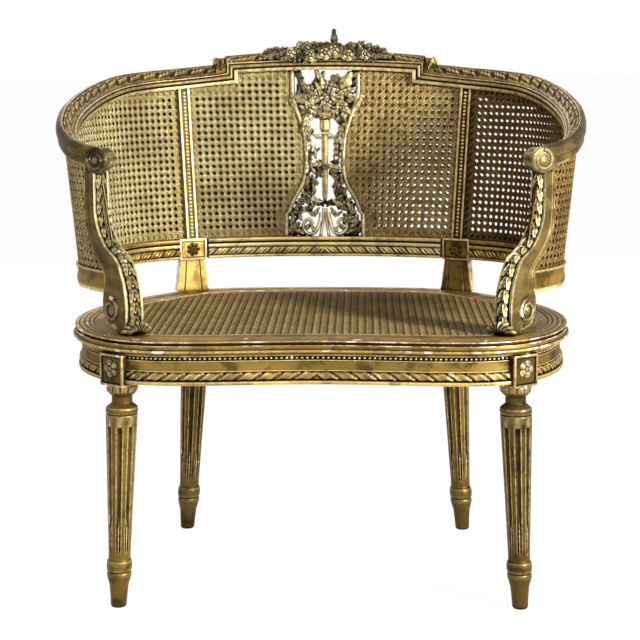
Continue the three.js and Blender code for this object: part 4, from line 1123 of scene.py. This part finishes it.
def top_rail_rings(runs, lengths, fall=0.0, plain=False):
    """A fillet, a cyma and a carved band on the inner side of the rail. A plain one has only the band."""
    inner = rounded([
        (-16, -18), (-17.4, -17.6), (-17.4, -12.4), (-14.8, -11.8), (-14.8, -9.8), (-17.6, -9), (-18.2, -7),
        (-17, -4.4), (-14.4, -3.6), (-14.4, -2.6), (-15.8, -2), (-15.8, -0.2), (-12.4, 0.4), (-11.8, 1.6),
    ], 0.7, 2, closed=False)
    if plain:
        inner[:, 0] = np.maximum(inner[:, 0], -11)
    across = np.linspace(0, 1, 15)
    band = np.array((-10.5, 3.2)) + across[:, None] * (14.0, 12.3)
    outer = rounded([
        (4.6, 14.2), (5.4, 17), (8, 18), (10, 17), (12.5, 16), (15.4, 13), (16.6, 8), (16.2, 0), (13.6, -3.6),
        (13.6, -12.6), (10.4, -18),
    ], 1, 3, closed=False)
    section = np.vstack([inner, band, outer])
    rings = np.broadcast_to(section, (len(runs), *section.shape)).copy()
    leaf = (lengths[:, None] / BAND_PITCH + 0.28 * across) % 1
    raised = plateau(leaf, 0, 0.8, 0.05)
    ridges = 0.7 + 0.3 * np.cos(TAU * (1.5 * across + leaf * 0.6)) + 0.25 * np.sin(5 * TAU * leaf) * across
    depth = np.sin(np.pi * across) ** 0.5 * (-2.2 + 4.2 * raised * ridges)
    rings[:, len(inner):len(inner) + len(band)] += depth[..., None] * (-0.66, 0.75)
    drop = fall * (runs / CREST_SHOULDER) ** 2
    rings[..., 1] -= np.where(rings[..., 1] > 0, drop[:, None], 0)
    return rings


def top_rail_form(start, end, lift=0.0, fall=0.0, plain=False):
    """A stretch of the top rail, mitred where it meets the step of the crest."""
    runs = even_runs(TOP_POINTS, start, end, 1.6)
    lengths = pattern_lengths(TOP_POINTS, runs)
    section = top_rail_rings(runs, lengths, fall, plain)
    rings = along_back(TOP_POINTS, section, runs, lift)
    if not plain:
        _, along, _ = back_frames(TOP_POINTS, runs)
        near = np.clip(1 - np.abs(lengths - pattern_lengths(TOP_POINTS, [CREST_JOG])) / 40, 0, 1)
        mitre = (np.sign(runs) * near)[:, None] * np.clip(section[..., 1] + 18, 0, 18.4)
        rings = rings + mitre[..., None] * along[:, None]
    # Darker towards the outer side of the rail: painted shade on the side turned from the lamps.
    outer_side_shade = np.interp(np.arange(section.shape[1]), (0, 34, 52, 60), (0, 0.2, 0.35, 0.8))
    form = Form()
    form.loft(rings, bole_and_shade=outer_side_shade)
    return form


def merged(*forms):
    whole = Form()
    for form in forms:
        whole.add(np.vstack(form.verts), form.faces, np.concatenate(form.bole_and_shade))
    return whole


def crest_returns():
    """The upright mouldings at the step of the crest, mitred into the level ones."""
    origin, along, out = first(back_frames(TOP_POINTS, CREST_JOG))
    low = origin[2] - TOP_RAIL_HEIGHT / 2
    section = rounded([
        (-0.5, 4), (-0.5, -17.4), (5.6, -17.4), (6.2, -14.8), (8.2, -14.8), (9, -17.6), (11, -18.2),
        (13.6, -17), (14.4, -14.4), (15.4, -14.4), (16, -15.8), (17.8, -15.8), (18.4, -12), (18.4, 4),
    ], 0.7, 2)
    base = origin * (1, 1, 0) + section[:, :1] * along + section[:, 1:] * out
    mitre = np.clip(section[:, :1], 0, 18)
    form = Form()
    form.loft([base + UP * (height + mitre) for height in (low, low + CREST_RISE)])
    end, along, out = first(back_frames(TOP_POINTS, CREST_SHOULDER - 0.006))
    middle = end + UP * (CREST_RISE - 1) - out * 8
    for shift, size, lean in ((-6, 20, 0.15), (-1, 22, -0.1), (5, 18, -0.4)):
        place = middle + along * shift + UP * 12
        form.put(LEAF, place, UP * -1.0 + along * lean, -out + UP * 0.4, (size, 8, 9))
    turn = np.linspace(0, 1.3 * TAU, 36)[:, None]
    radius = np.linspace(6, 1.5, 36)[:, None]
    path = middle + UP * 6 + along * 4 + out * 2
    form.tube(path + radius * (np.cos(turn) * along + np.sin(turn) * UP), 2.6, up=out)
    return form


def crest_piece():
    lower = merged(top_rail_form(CREST_JOG, CREST_JOINT - JOINT_GAP), crest_returns())
    edge = top_rail_form(CREST_JOG, CREST_SHOULDER, CREST_RISE, CREST_FALL, plain=True)
    side = merged(lower, edge)
    upper = top_rail_form(-CREST_JOG, CREST_JOG, CREST_RISE, CREST_FALL)
    piece(merged(side, side.mirrored(), upper), "crest_rail", RAIL)


ROLL_RADIUS = 20.5
ROLL_WIDTH = 36
ROLL_TURN = math.radians(27)


def arm_roll(tone):
    """The scrolled end of the arm: a volute on its face and leaf folds round it, darkened by tone with
    painted shade.
    """
    end = back_frames(TOP_POINTS, 1.0)[0][0] - UP * 2.5
    axis = np.array([math.sin(ROLL_TURN), -math.cos(ROLL_TURN), 0])
    side = np.array([math.cos(ROLL_TURN), math.sin(ROLL_TURN), 0])
    half = ROLL_WIDTH / 2
    outline = [(0, half - 1), (18, half - 1), (ROLL_RADIUS, half - 3), (ROLL_RADIUS, half - 7)]
    for k in range(5):
        reach = ROLL_RADIUS - 0.5 - 0.5 * k
        place = half - 8 - 5.4 * k
        outline += [(reach - 4, place), (reach - 1, place - 0.8)]
        outline += [(reach, place - 2.6), (reach - 1.4, place - 4.6)]
    outline += [(14, -half), (0, -half)]
    profile = rounded(outline, 0.9, 2, closed=False)
    radius, forward = profile[:, :1], profile[:, 1:]
    angle = circle(72)
    folds = 1 - 0.1 * np.abs(np.sin(3.5 * angle)) ** 3 * (forward < half - 8)
    radius = (radius * folds)[..., None]
    spokes = np.cos(angle[:, None]) * side + np.sin(angle[:, None]) * UP
    form = Form()
    form.loft(end + (radius * spokes + forward[..., None] * axis), bole_and_shade=tone)
    turn = np.linspace(0, 1.25 * TAU, 70)[:, None]
    reach = np.linspace(15.8, 9, 70)[:, None]
    path = end + axis * (half - 1.5) + reach * (np.sin(turn) * side + np.cos(turn) * UP)
    form.tube(path, np.linspace(2.8, 1.8, 70), up=axis, bole_and_shade=tone)
    form.scatter(PEARL, [end + axis * (half - 2)], [np.stack([side, UP, axis])], (6, 6, 2.5), tone)
    return form


def arm_pieces():
    arm = top_rail_form(CREST_JOINT + JOINT_GAP, 1.0)
    # The rolls are darkened towards the shadow colour: painted shade, deeper on the left roll, which is
    # turned from the key lamp.
    piece(merged(arm, arm_roll(0.65)), "arm_rail_right", RAIL)
    piece(merged(arm, arm_roll(1.0)).mirrored(), "arm_rail_left", RAIL)


# Posts

POST_BLOCK = 38


def post_pieces():
    """A grooved post with pearls, its block at the low rail, and its foot that flares to the rim."""
    low, along, out = first(back_frames(LOW_POINTS, POST_RUN))
    top = back_frames(TOP_POINTS, POST_RUN)[0][0][2] - TOP_RAIL_HEIGHT / 2
    section = rounded([
        (-10, -10), (-10, -13), (-6.3, -13), (-5.3, -10.5), (5.3, -10.5), (6.3, -13), (10, -13), (10, -10),
        (10, 12), (-10, 12),
    ], 0.8, 2)
    rings = []
    for height in np.linspace(LOW_RAIL_Z, top + 2, 30):
        centre = wrap_points([POST_RUN], [height], [0.0])[0][0]
        rings.append(centre + section[:, :1] * along + section[:, 1:] * out)
    form = Form()
    form.loft(rings)
    pearls = np.arange(LOW_RAIL_Z + 24, top - 3, 6.4)
    places, _ = wrap_points(np.full(len(pearls), POST_RUN), pearls, np.full(len(pearls), -10.6))
    axes = np.broadcast_to(np.stack([along, UP, -out]), (len(pearls), 3, 3))
    form.scatter(PEARL, places, axes, (3.3, 3.1, 2.6), 0.1)
    form.scatter(block_shape(50, 28, POST_BLOCK, border=4), [low], [np.stack([along, out, UP])], 1)
    foot = rounded([
        (-1, -10), (-0.62, -10), (-0.56, -8), (-0.5, -10), (0.5, -10), (0.56, -8), (0.62, -10), (1, -10),
        (1, 10), (-1, 10),
    ], 0.05, 2)
    lower = LOW_RAIL_Z - POST_BLOCK / 2 + 1
    rings = []
    for height in np.linspace(SEAT_HEIGHT, lower, 12):
        share = (height - SEAT_HEIGHT) / (lower - SEAT_HEIGHT)
        width = 28.5 - 7 * share + 1.5 * math.exp(-share * 14)
        centre = low * (1, 1, 0) + UP * height
        rings.append(centre + foot[:, :1] * width * along + foot[:, 1:] * out)
    form.loft(rings)
    # Painted light on the left post, painted shade on the right one.
    pair(form, "back_post", SHADED_POST, left=LIT_POST)
    rose = Form()
    rose.scatter(DAISY, [low - out * (14 - 1.7)], [np.stack([-along, UP, -out])], (12, 12, 6))
    pair(rose, "rosette_back", PALE)


# Arm supports

SUPPORT_REACH = 102
SUPPORT_HEIGHT = 242.9
SUPPORT_WIDTH = 33
SUPPORT_TURN = math.radians(48)
SUPPORT_TAPER = 6
SUPPORT_FRONT = [
    (0, 0), (-0.02, 0.04), (-0.035, 0.1), (-0.04, 0.17), (-0.01, 0.27), (0.07, 0.37), (0.2, 0.46),
    (0.47, 0.532), (0.66, 0.63), (0.745, 0.73), (0.755, 0.85), (0.755, 1),
]
SUPPORT_REAR = [
    (1, 1), (1, 0.73), (0.96, 0.617), (0.845, 0.53), (0.68, 0.448), (0.53, 0.36), (0.545, 0.25),
    (0.57, 0.175), (0.52, 0.09), (0.4, 0.045), (0.25, 0.055), (0.2, 0),
]


def support_edges(count):
    """Matching points of the front and rear edges, from the foot to the top."""
    edges = []
    for shares in (SUPPORT_FRONT, SUPPORT_REAR[::-1]):
        points = np.array([(x * SUPPORT_REACH, y * SUPPORT_HEIGHT) for x, y in shares])
        dense = catmull_rom(points, np.linspace(0, 1, 600))
        run = distances(dense)
        edges.append(sampled(np.linspace(0, run[-1], count), run, dense))
    return edges


def support_body(form, front, rear, place):
    """An S-shaped bar with a hollowed front face and two reeds along each side."""
    half = SUPPORT_WIDTH / 2
    across = np.linspace(-1, 1, 25)
    fillet = np.clip((np.abs(across) - 0.66) / 0.06, 0, 1)
    depth = np.linspace(0, 1, 19)[1:]
    from_front = depth * 34
    reed = 1.6 * (np.exp(-((from_front - 24) / 1.5) ** 2) + np.exp(-((from_front - 28.5) / 1.5) ** 2))
    reed_share = np.clip((front[:, 1] / SUPPORT_HEIGHT - 0.3) / 0.08, 0, 1)
    taper = SUPPORT_TAPER * front[:, 1] / SUPPORT_HEIGHT
    rings = []
    for i in range(len(front)):
        inward = unit((rear[i] - front[i])[None])
        face = front[i] - inward * (2.6 * fillet - 1.0)[:, None]
        sides = front[i] + (rear[i] - front[i]) * depth[:, None]
        bulge = reed * reed_share[i]
        shift = np.where(across < 0, taper[i] * -across, 0)
        rings.append(place(np.concatenate([
            np.column_stack([face, across * half + shift]),
            np.column_stack([sides, half + bulge - 1]),
            np.column_stack([sides, -half - bulge + 1 + taper[i]])[::-1],
        ])))
    # The ground of the front face and both sides are darkened: painted shade between the leaves and on the
    # sides.
    shades = [(np.abs(across) < 0.7) * 0.8, np.full(len(depth), 1.0), np.full(len(depth), 0.5)]
    form.loft(rings, bole_and_shade=np.concatenate(shades))


def support_leaves(form, front, origin, along, out):
    """Pairs of leaves down the front face, with a pearl on each."""
    run = distances(front)
    places = np.arange(22, run[-1] - 6, 20)
    spots, ahead = (sampled(places + further, run, front) for further in (0, 2))
    step = unit(ahead - spots)
    tangent = step[:, :1] * along + step[:, 1:] * UP
    normal = step[:, :1] * UP - step[:, 1:] * along
    taper = SUPPORT_TAPER / 2 * spots[:, 1:] / SUPPORT_HEIGHT
    base = origin + spots[:, :1] * along + spots[:, 1:] * UP + taper * out - normal * 0.5
    for lean in (-0.3, 0.3):
        form.scatter(ROUND_LEAF, base + tangent * 12, oriented(-tangent + lean * out, normal), (27, 11, 10))
    form.scatter(PEARL, base + tangent * 12 + normal * 2, oriented(tangent, normal), (3.4, 3, 3))


def volutes(form, origin, along, out):
    """The scroll at the foot of the support, on both of its faces."""
    turn = np.linspace(0, 1.45 * TAU, 60)[:, None]
    radius = np.linspace(19, 7, 60)[:, None]
    for side in (-1, 1):
        centre = origin + 36 * along + 34 * UP + out * side * (SUPPORT_WIDTH / 2 - 1)
        path = centre + radius * (np.cos(turn) * UP - 0.95 * np.sin(turn) * along)
        # The volutes are darkened fully: painted shade.
        form.tube(path, np.linspace(3.6, 2.4, 60), up=out, bole_and_shade=1.0)
        form.scatter(PEARL, [centre], [np.stack([along, UP, out])], (6, 7, 3), 1.0)


def foot_fan(form, origin, along, out):
    """Small leaves spread in front of the foot."""
    base = origin + along * -2 + UP * 2
    for degrees in range(-75, 76, 25):
        turn = math.radians(degrees)
        direction = UP * math.cos(turn) + out * math.sin(turn) - along * 0.3
        form.put(BUD, base + out * degrees * 0.1 - along * 3, direction, -along + UP * 0.4, (20, 13, 14))


def support_pieces():
    out = np.array([math.sin(SUPPORT_TURN), -math.cos(SUPPORT_TURN), 0])
    along = np.array([math.cos(SUPPORT_TURN), math.sin(SUPPORT_TURN), 0])
    origin = leg_block_frame(FRONT_LEG_SHARE)[0] - out * 22 + UP * (SEAT_HEIGHT + 0.3)
    front, rear = support_edges(150)

    def place(loop):
        return origin + loop[:, :1] * along + loop[:, 1:2] * UP + loop[:, 2:] * out

    form = Form()
    support_body(form, front, rear, place)
    support_leaves(form, front, origin, along, out)
    volutes(form, origin, along, out)
    foot_fan(form, origin, along, out)
    pair(form, "arm_support", ARM)


# Splat

def splat_place(across, height, depth=0.0):
    """A point of the splat, which leans back between the middles of the two rails."""
    lean = (np.asarray(height, float) - MIDDLE_LOW[2]) / (MIDDLE_TOP[2] - MIDDLE_LOW[2])
    forward = MIDDLE_LOW[1] + (MIDDLE_TOP[1] - MIDDLE_LOW[1]) * lean + depth
    return np.stack(np.broadcast_arrays(across, forward, height), axis=-1)


MIDDLE_LOW, MIDDLE_TOP = (catmull_rom(points, [0.5])[0] for points in (LOW_POINTS, TOP_POINTS))
SPLAT_NORMAL = np.array([0, -1.0, 0])
LEAF_TURN = 137.5


def facing(turn, rise=1.0):
    """A direction in the plane of the splat, flattened by the rise."""
    return np.array([math.cos(turn), 0, rise * math.sin(turn)])


def even_shares(i):
    """Three shares for the i-th of many copies, which fill a space evenly."""
    return 0.618 * i % 1, 0.7549 * i % 1, 0.4142 * i % 1


def put_leaf(form, shape, across, height, degrees, length, width, depth=0.0, thick=11, bole_and_shade=0.0):
    direction = facing(math.radians(degrees))
    middle = splat_place(across, height, depth - 2)
    normal = SPLAT_NORMAL + 0.3 * np.array([math.sin(3 * across), 0, math.cos(2 * height)])
    form.put(shape, middle - direction * length / 2, direction, normal, (length, width, thick), bole_and_shade)


def put_leaf_pair(form, across, height, degrees, length, width, depth=0.0):
    """A leaf over a second one that lies across it, further back."""
    # One leaf of each pair is darkened towards the shadow colour and the other less: painted shade in the
    # gaps, varied from place to place.
    tone = 1.0 if math.sin(7 * across + 3 * height) > 0.2 else 0.0
    place = (across, height)
    put_leaf(form, ROUND_LEAF, *place, degrees, length, width, depth, bole_and_shade=0.7 * tone)
    degrees += 58 if math.sin(3 * across + height) > 0 else -58
    put_leaf(form, ROUND_LEAF, *place, degrees, 0.85 * length, width, depth + 4, bole_and_shade=0.9 - 0.6 * tone)


def fill_bouquet(form):
    """Small leaves spread evenly behind the bouquet."""
    for i in range(80):
        sideways, upward, shade = even_shares(i)
        height = SPLAT_BOTTOM + (210 + 60 * upward)
        # The leaves set further back are the dark ones: painted shade.
        tone = 0.9 if shade < 0.55 else 0.0
        put_leaf(form, BUD, 47 * (2 * sideways - 1), height, LEAF_TURN * i, 16, 10, 5 * tone - 2, 9, tone)


def put_flower(form, across, height, radius):
    turn = across + height
    normal = SPLAT_NORMAL + 0.35 * np.array([math.sin(turn), 0, 0.4])
    shape = FLOWER if radius > 9 else DAISY
    size = (0.85 * radius, 0.85 * radius, 7)
    form.put(shape, splat_place(across, height, -6), facing(turn), normal, size, 0.45)


def splat_stiles(form):
    """The two moulded edges of the splat."""
    dense = np.linspace(SPLAT_BOTTOM - 1, SPLAT_TOP + 1, 90)
    half = splat_half(dense)
    smooth = np.convolve(np.pad(half, 3, mode="edge"), np.ones(7) / 7, mode="valid")
    half = np.where(dense > SPLAT_BOTTOM + 0.16 * (SPLAT_TOP - SPLAT_BOTTOM), smooth, half)
    section = np.array([
        (0.5, 7), (-8.6, 7), (-8.6, -5), (-7.8, -7), (-6, -8.4), (-4, -9), (-2, -8.6), (-0.4, -7.4),
        (0.5, -5),
    ])
    across, depth = section.T
    for side in (1, -1):
        rings = [splat_place(side * (width + across), height, depth) for height, width in zip(dense, half)]
        form.loft(rings, bole_and_shade=0.5)


# Leaves and buds of the splat: across, height over its foot, length, width, turn in degrees
BOUQUET_LEAVES = [
    (-48, 286, 22, 11, -35), (-40, 267, 24, 13, -60), (-9, 281, 32, 15, 112), (-5, 270, 22, 14, 95),
    (17, 277, 24, 17, 60), (35, 271, 44, 24, 60), (51, 288, 26, 15, 22), (54, 246, 32, 19, 10),
    (58, 232, 28, 11, 52), (-46, 244, 32, 17, 165), (-56, 232, 26, 11, 128), (-30, 260, 28, 15, 148),
    (-20, 240, 28, 16, 200), (24, 238, 28, 16, -20), (-35, 222, 30, 16, 212), (39, 222, 30, 16, -34),
    (-38, 202, 32, 15, 252), (36, 202, 32, 15, -72), (-31, 184, 24, 12, 262), (30, 184, 24, 12, -84),
    (1, 262, 28, 15, 88), (12, 250, 26, 15, 66), (3, 224, 24, 15, 80), (-8, 219, 22, 13, 150),
    (13, 220, 22, 13, 25), (-11, 260, 30, 15, 112), (-24, 251, 26, 14, 130), (28, 252, 26, 14, 45),
]
LOWER_LEAVES = [
    (-15, 127, 24, 10, 172), (17, 123, 26, 12, -12), (-17, 150, 24, 6, 92), (18, 112, 24, 13, -62),
    (-12, 112, 20, 9, 240), (-33, 93, 26, 11, 82), (-22, 97, 24, 10, 96), (21, 93, 22, 9, 100),
    (22, 79, 18, 9, 84), (33, 77, 24, 11, 52), (-27, 50, 22, 10, 30), (-34, 72, 22, 11, 128),
    (26, 58, 24, 11, 150), (41, 62, 22, 11, 35), (-54, 41, 28, 10, 6), (-48, 52, 24, 11, 60),
    (48, 48, 26, 12, 118), (-57, 14, 30, 16, 42), (-46, 8, 26, 12, 152), (-58, 27, 24, 11, 92),
    (55, 24, 30, 14, 82), (40, 30, 24, 13, 122), (59, 9, 24, 11, 60), (46, 8, 26, 12, 28),
]
# Buds on both sides: across, height, turn. Flowers: across, height, radius
FOOT_BUDS = [
    (15, 178, 28), (21, 14, 60), (30, 18, 130), (15, 44, 120), (24, 40, 30), (45, 36, 70), (52, 20, 40),
    (36, 50, 150), (50, 50, 95), (30, 72, 40), (20, 84, 75), (30, 100, 100), (21, 118, 60), (32, 132, 95),
    (30, 158, 80),
]
SPLAT_FLOWERS = [
    (-14, 248, 12), (14, 264, 10), (-27, 231, 13), (4, 236, 14), (33, 230, 11), (-10, 226, 7), (18, 226, 7),
    (-42, 63, 10), (35, 54, 11), (27, 66, 8), (-30, 62, 7), (0, 125, 6),
]
# Paths of the strings of husks and of the scrolls, left (-1) and right (1)
HUSKS = {
    -1: [
        (-35, 206), (-33, 180), (-30, 166), (-29, 151), (-29, 136), (-30, 122), (-33, 106), (-31, 88),
        (-26, 73), (-17, 63), (-7, 59),
    ],
    1: [
        (32, 206), (28, 182), (22, 170), (22, 156), (21, 142), (19, 126), (20, 108), (24, 92), (30, 78),
        (24, 64), (8, 59),
    ],
}
SCROLLS = {
    -1: [(-6, 42), (-9, 26), (-17, 8), (-28, 4), (-37, 12), (-38, 23), (-30, 30), (-23, 25), (-25, 18)],
    1: [(6, 42), (10, 26), (17, 8), (28, 4), (38, 12), (39, 24), (31, 31), (24, 26), (26, 18)],
}


def torch(form):
    """The reeded torch in the middle of the splat, with a ring of pearls under its bowl."""
    profile = rounded([
        (0, 57), (2.5, 60), (4.8, 72), (6.4, 180), (6.4, 181), (9, 182), (9, 185), (6.5, 186), (9.8, 191),
        (9.8, 203), (9, 206), (11, 209.5), (16, 213), (20, 217), (20, 220), (0, 218),
    ], 1.2, 3, closed=False)
    radius, height = profile[:, :1], profile[:, 1:]
    angle = circle(40)
    reeded = (height > 70) & (height < 180) | (height > 188) & (height < 204)
    radius = radius * (1 - 0.14 * np.abs(np.sin(4 * angle)) * reeded)
    depth = np.where(height > 208, 0.45, 1) * radius * np.sin(angle)
    form.loft(splat_place(radius * np.cos(angle), SPLAT_BOTTOM + height + 0 * angle, depth))
    places = splat_place(np.linspace(-10, 10, 7), SPLAT_BOTTOM + 183.5, -7)
    form.scatter(PEARL, places, oriented([(1.0, 0, 0)] * 7, SPLAT_NORMAL), 2.3)


def splat_cord(form, path, depth, radii, count):
    dense = catmull_rom(path, np.linspace(0, 1, count))
    form.tube(splat_place(dense[:, 0], SPLAT_BOTTOM + dense[:, 1], depth), radii)


def husk_garland(form, path):
    splat_cord(form, path, 1, 3, 60)
    spots = catmull_rom(path, np.linspace(0, 1, 15))
    for (x, z), (dx, dz) in zip(spots, np.gradient(spots, axis=0)):
        degrees = math.degrees(math.atan2(dz, dx))
        for lean, size in ((-38, 18), (4, 15), (42, 18)):
            tone = 0.0 if math.sin(5 * z + lean) > -0.1 else 0.9
            depth = -1.5 if lean == 4 else 0
            put_leaf(form, BUD, x, SPLAT_BOTTOM + z, degrees + lean, size, 9, depth, 10, tone)


def splat_piece():
    form = Form()
    splat_stiles(form)
    torch(form)
    for across, height, length, width, degrees in BOUQUET_LEAVES + LOWER_LEAVES:
        lift = -2 * math.sin(across + height)
        put_leaf_pair(form, across, SPLAT_BOTTOM + height, degrees, 1.12 * length, 1.15 * width, lift)
    fill_bouquet(form)
    for across, height, degrees in FOOT_BUDS:
        for side in (1, -1):
            place = (side * across, SPLAT_BOTTOM + height, 90 + side * (degrees - 90))
            put_leaf(form, BUD, *place, 18, 9, -3)
    for across, height, radius in SPLAT_FLOWERS:
        put_flower(form, across, SPLAT_BOTTOM + height, radius)
    stem = np.linspace(0, 1, 20)
    for side in (1, -1):
        husk_garland(form, HUSKS[side])
        splat_cord(form, SCROLLS[side], -4, np.linspace(4, 3, 70), 70)
        form.tube(splat_place(side * (2 + 6 * stem**2), SPLAT_BOTTOM + 50 * (1 - stem), -1), 3)
    piece(form, "splat", CARVED, sharp=50)


# Crest garland: across, height over the bottom edge of the crest rail, length, width, turn in degrees
GARLAND_LEAVES = [
    (-104, 23, 32, 11, 168), (-90, 28, 36, 13, 194), (-80, 28, 32, 15, 18), (-67, 30, 26, 17, 68),
    (-57, 24, 32, 16, 172), (-41, 38, 26, 16, 24), (-47, 29, 26, 16, 140), (-32, 30, 36, 21, 14),
    (-20, 37, 30, 18, 162), (-10, 25, 32, 17, 190), (-5, 38, 32, 17, 12), (5, 29, 24, 18, 88),
    (17, 26, 34, 17, -10), (22, 39, 24, 15, 120), (32, 34, 36, 20, 162), (52, 38, 36, 23, 135),
    (57, 32, 32, 19, 20), (67, 25, 32, 16, -14), (79, 30, 28, 15, 150), (84, 27, 32, 16, -18),
    (96, 30, 30, 12, 162), (106, 23, 32, 11, -12), (-72, 20, 30, 12, 8), (-30, 20, 30, 13, 176),
    (44, 20, 30, 13, 4),
]
GARLAND_FLOWERS = [(-62, 31, 10), (-27, 26, 12), (0, 30, 13), (16, 36, 11), (41, 27, 12), (72, 27, 10)]
GARLAND_HALF = 104
GARLAND_LEVEL = MIDDLE_TOP[2] + CREST_RISE - TOP_RAIL_HEIGHT / 2
GARLAND_FACE = MIDDLE_TOP[1] - 14
LOOKING_UP = (0, -1.0, 0.35)


def garland_ground(form):
    """A mound of small leaves under the larger ones."""
    for i in range(70):
        sideways, upward, shade = even_shares(i)
        across = GARLAND_HALF * (2 * sideways - 1)
        mound = 6 + 17 * math.cos(math.radians(80 * across / GARLAND_HALF)) ** 0.8
        rise = 24 + mound * upward
        tone = 0.8 if shade < 0.5 else 0.0
        direction = facing(math.radians(LEAF_TURN * i), 0.8)
        middle = np.array([across, GARLAND_FACE + 0.25 * (rise - 24) - 3 * tone, GARLAND_LEVEL + rise])
        normal = (0.3 * math.sin(i), -1.0, 0.5)
        form.put(ROUND_LEAF, middle - direction * 9, direction, normal, (20, 13, 12), tone)


def garland_leaf(form, across, rise, length, width, degrees):
    """A leaf over a second one that is turned and lies further back."""
    turn = math.radians(degrees)
    other = turn + (1.0 if math.sin(5 * across) > 0 else -1.0)
    depth = 0.3 * max(rise - 26, 0) - 2 * math.sin(across)
    middle = np.array([across, GARLAND_FACE + depth, GARLAND_LEVEL + rise])
    behind = middle + np.array([6 * math.cos(across), 4, -2])
    tone = 0.4 + 0.4 * math.sin(across)
    for place, direction, broad, thick, shade in (
        (middle, facing(turn), width, 14, tone), (behind, facing(other, 0.6), 0.8 * width, 12, 0.0),
    ):
        origin = place - direction * 0.4 * length
        form.put(ROUND_LEAF, origin, direction, LOOKING_UP, (0.8 * length, broad, thick), shade)


def finial(form):
    """The bud that stands on the garland, a little to the right of the middle."""
    tip = rounded([
        (0, 0), (6.5, 1), (8, 6), (6.5, 12), (4, 16), (4.8, 19.5), (3.4, 24), (0, 25.5),
    ], 1, 3, closed=False)
    angle = circle(24)
    wave = 1 - 0.2 * np.abs(np.sin(2.5 * angle))
    rings = np.stack([
        16 + tip[:, :1] * wave * np.cos(angle), GARLAND_FACE + 8 + tip[:, :1] * wave * np.sin(angle),
        GARLAND_LEVEL + 48 + tip[:, 1:] + 0 * angle,
    ], axis=-1)
    form.loft(rings, bole_and_shade=1.0)


def garland_piece():
    form = Form()
    garland_ground(form)
    for leaf in GARLAND_LEAVES:
        garland_leaf(form, *leaf)
    for across, rise, radius in GARLAND_FLOWERS:
        place = np.array([across, GARLAND_FACE - 6, GARLAND_LEVEL + rise])
        form.put(FLOWER, place, (1.0, 0, 0), (0, -1.0, 0.3), (radius, radius, 9), 0.1)
    finial(form)
    piece(form, "crest_garland", WORN, sharp=50)


# Setting

def put_object(name, data, place, angles):
    obj = bpy.data.objects.new(name, data)
    obj.location = place
    obj.rotation_euler = angles
    bpy.context.scene.collection.objects.link(obj)
    return obj


def camera():
    data = bpy.data.cameras.new("camera")
    data.sensor_width = 36
    data.lens = 98.49
    angles = (math.radians(90 - 9.41), math.radians(0.15), math.radians(1.31))
    bpy.context.scene.camera = put_object("camera", data, (0.064, -2.885, 0.889), angles)


def lamp(name, place, target, size, power):
    data = bpy.data.lights.new(name, "AREA")
    data.size = size
    data.energy = power
    way = np.array(target, float) - np.array(place, float)
    angles = (math.atan2(math.hypot(way[0], way[1]), -way[2]), 0, math.atan2(-way[0], way[1]))
    put_object(name, data, place, angles)


def seen_as_white(tree, shader, output, share, strength=1.0):
    """Camera, glossy and transmission rays see white for the given share."""
    paths = tree.nodes.new("ShaderNodeLightPath")
    seen = paths.outputs["Is Camera Ray"]
    for label in ("Is Glossy Ray", "Is Transmission Ray"):
        add = tree.nodes.new("ShaderNodeMath")
        add.operation = "MAXIMUM"
        tree.links.new(seen, add.inputs[0])
        tree.links.new(paths.outputs[label], add.inputs[1])
        seen = add.outputs[0]
    scale = tree.nodes.new("ShaderNodeMath")
    scale.operation = "MULTIPLY"
    tree.links.new(seen, scale.inputs[0])
    scale.inputs[1].default_value = share
    for_surface = output.bl_idname == "ShaderNodeOutputMaterial"
    white = tree.nodes.new("ShaderNodeEmission" if for_surface else "ShaderNodeBackground")
    white.inputs["Strength"].default_value = strength
    white.inputs["Color"].default_value = (1, 1, 1, 1)
    mix = tree.nodes.new("ShaderNodeMixShader")
    for source, socket in zip((scale, shader, white), mix.inputs):
        tree.links.new(source.outputs[0], socket)
    tree.links.new(mix.outputs[0], output.inputs["Surface"])


def setting():
    scene = bpy.context.scene
    scene.view_settings.view_transform = "Standard"
    world = bpy.data.worlds.new("studio")
    scene.world = world
    world.use_nodes = True
    ground = world.node_tree.nodes["Background"]
    ground.inputs["Color"].default_value = (1, 0.98, 0.95, 1)
    ground.inputs["Strength"].default_value = 0.2
    seen_as_white(world.node_tree, ground, world.node_tree.nodes["World Output"], 1.0)
    half = 30
    corners = [(-half, -half, 0), (half, -half, 0), (half, half, 0), (-half, half, 0)]
    mesh = bpy.data.meshes.new("floor")
    mesh.from_pydata(corners, [], [(0, 1, 2, 3)])
    floor = bpy.data.objects.new("floor", mesh)
    scene.collection.objects.link(floor)
    material = bpy.data.materials.new("floor")
    material.use_nodes = True
    tree = material.node_tree
    shader = tree.nodes["Principled BSDF"]
    shader.inputs["Base Color"].default_value = (0.86, 0.86, 0.86, 1)
    shader.inputs["Roughness"].default_value = 0.9
    seen_as_white(tree, shader, tree.nodes["Material Output"], 0.8, 1.16)
    mesh.materials.append(material)
    lamp("key", (2.85, -2.4, 1.35), (0, 0, 0.55), 0.6, 200)
    lamp("front", (0.6, -3.4, 1.7), (0, 0, 0.5), 1.0, 24)
    lamp("back", (-0.6, 2.6, 2.4), (0, 0, 0.5), 1.6, 40)


camera()
setting()
rim_pieces()
rail_pieces()
leg_pieces()
seat_cane()
back_cane_pieces()
low_rail_pieces()
crest_piece()
arm_pieces()
post_pieces()
support_pieces()
splat_piece()
garland_piece()

# The corner blocks are shown as they were modelled, in bare wood
for name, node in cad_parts.items():
    if name.startswith("corner_block"):
        node.data.materials.clear()
        node.data.materials.append(BEECH)
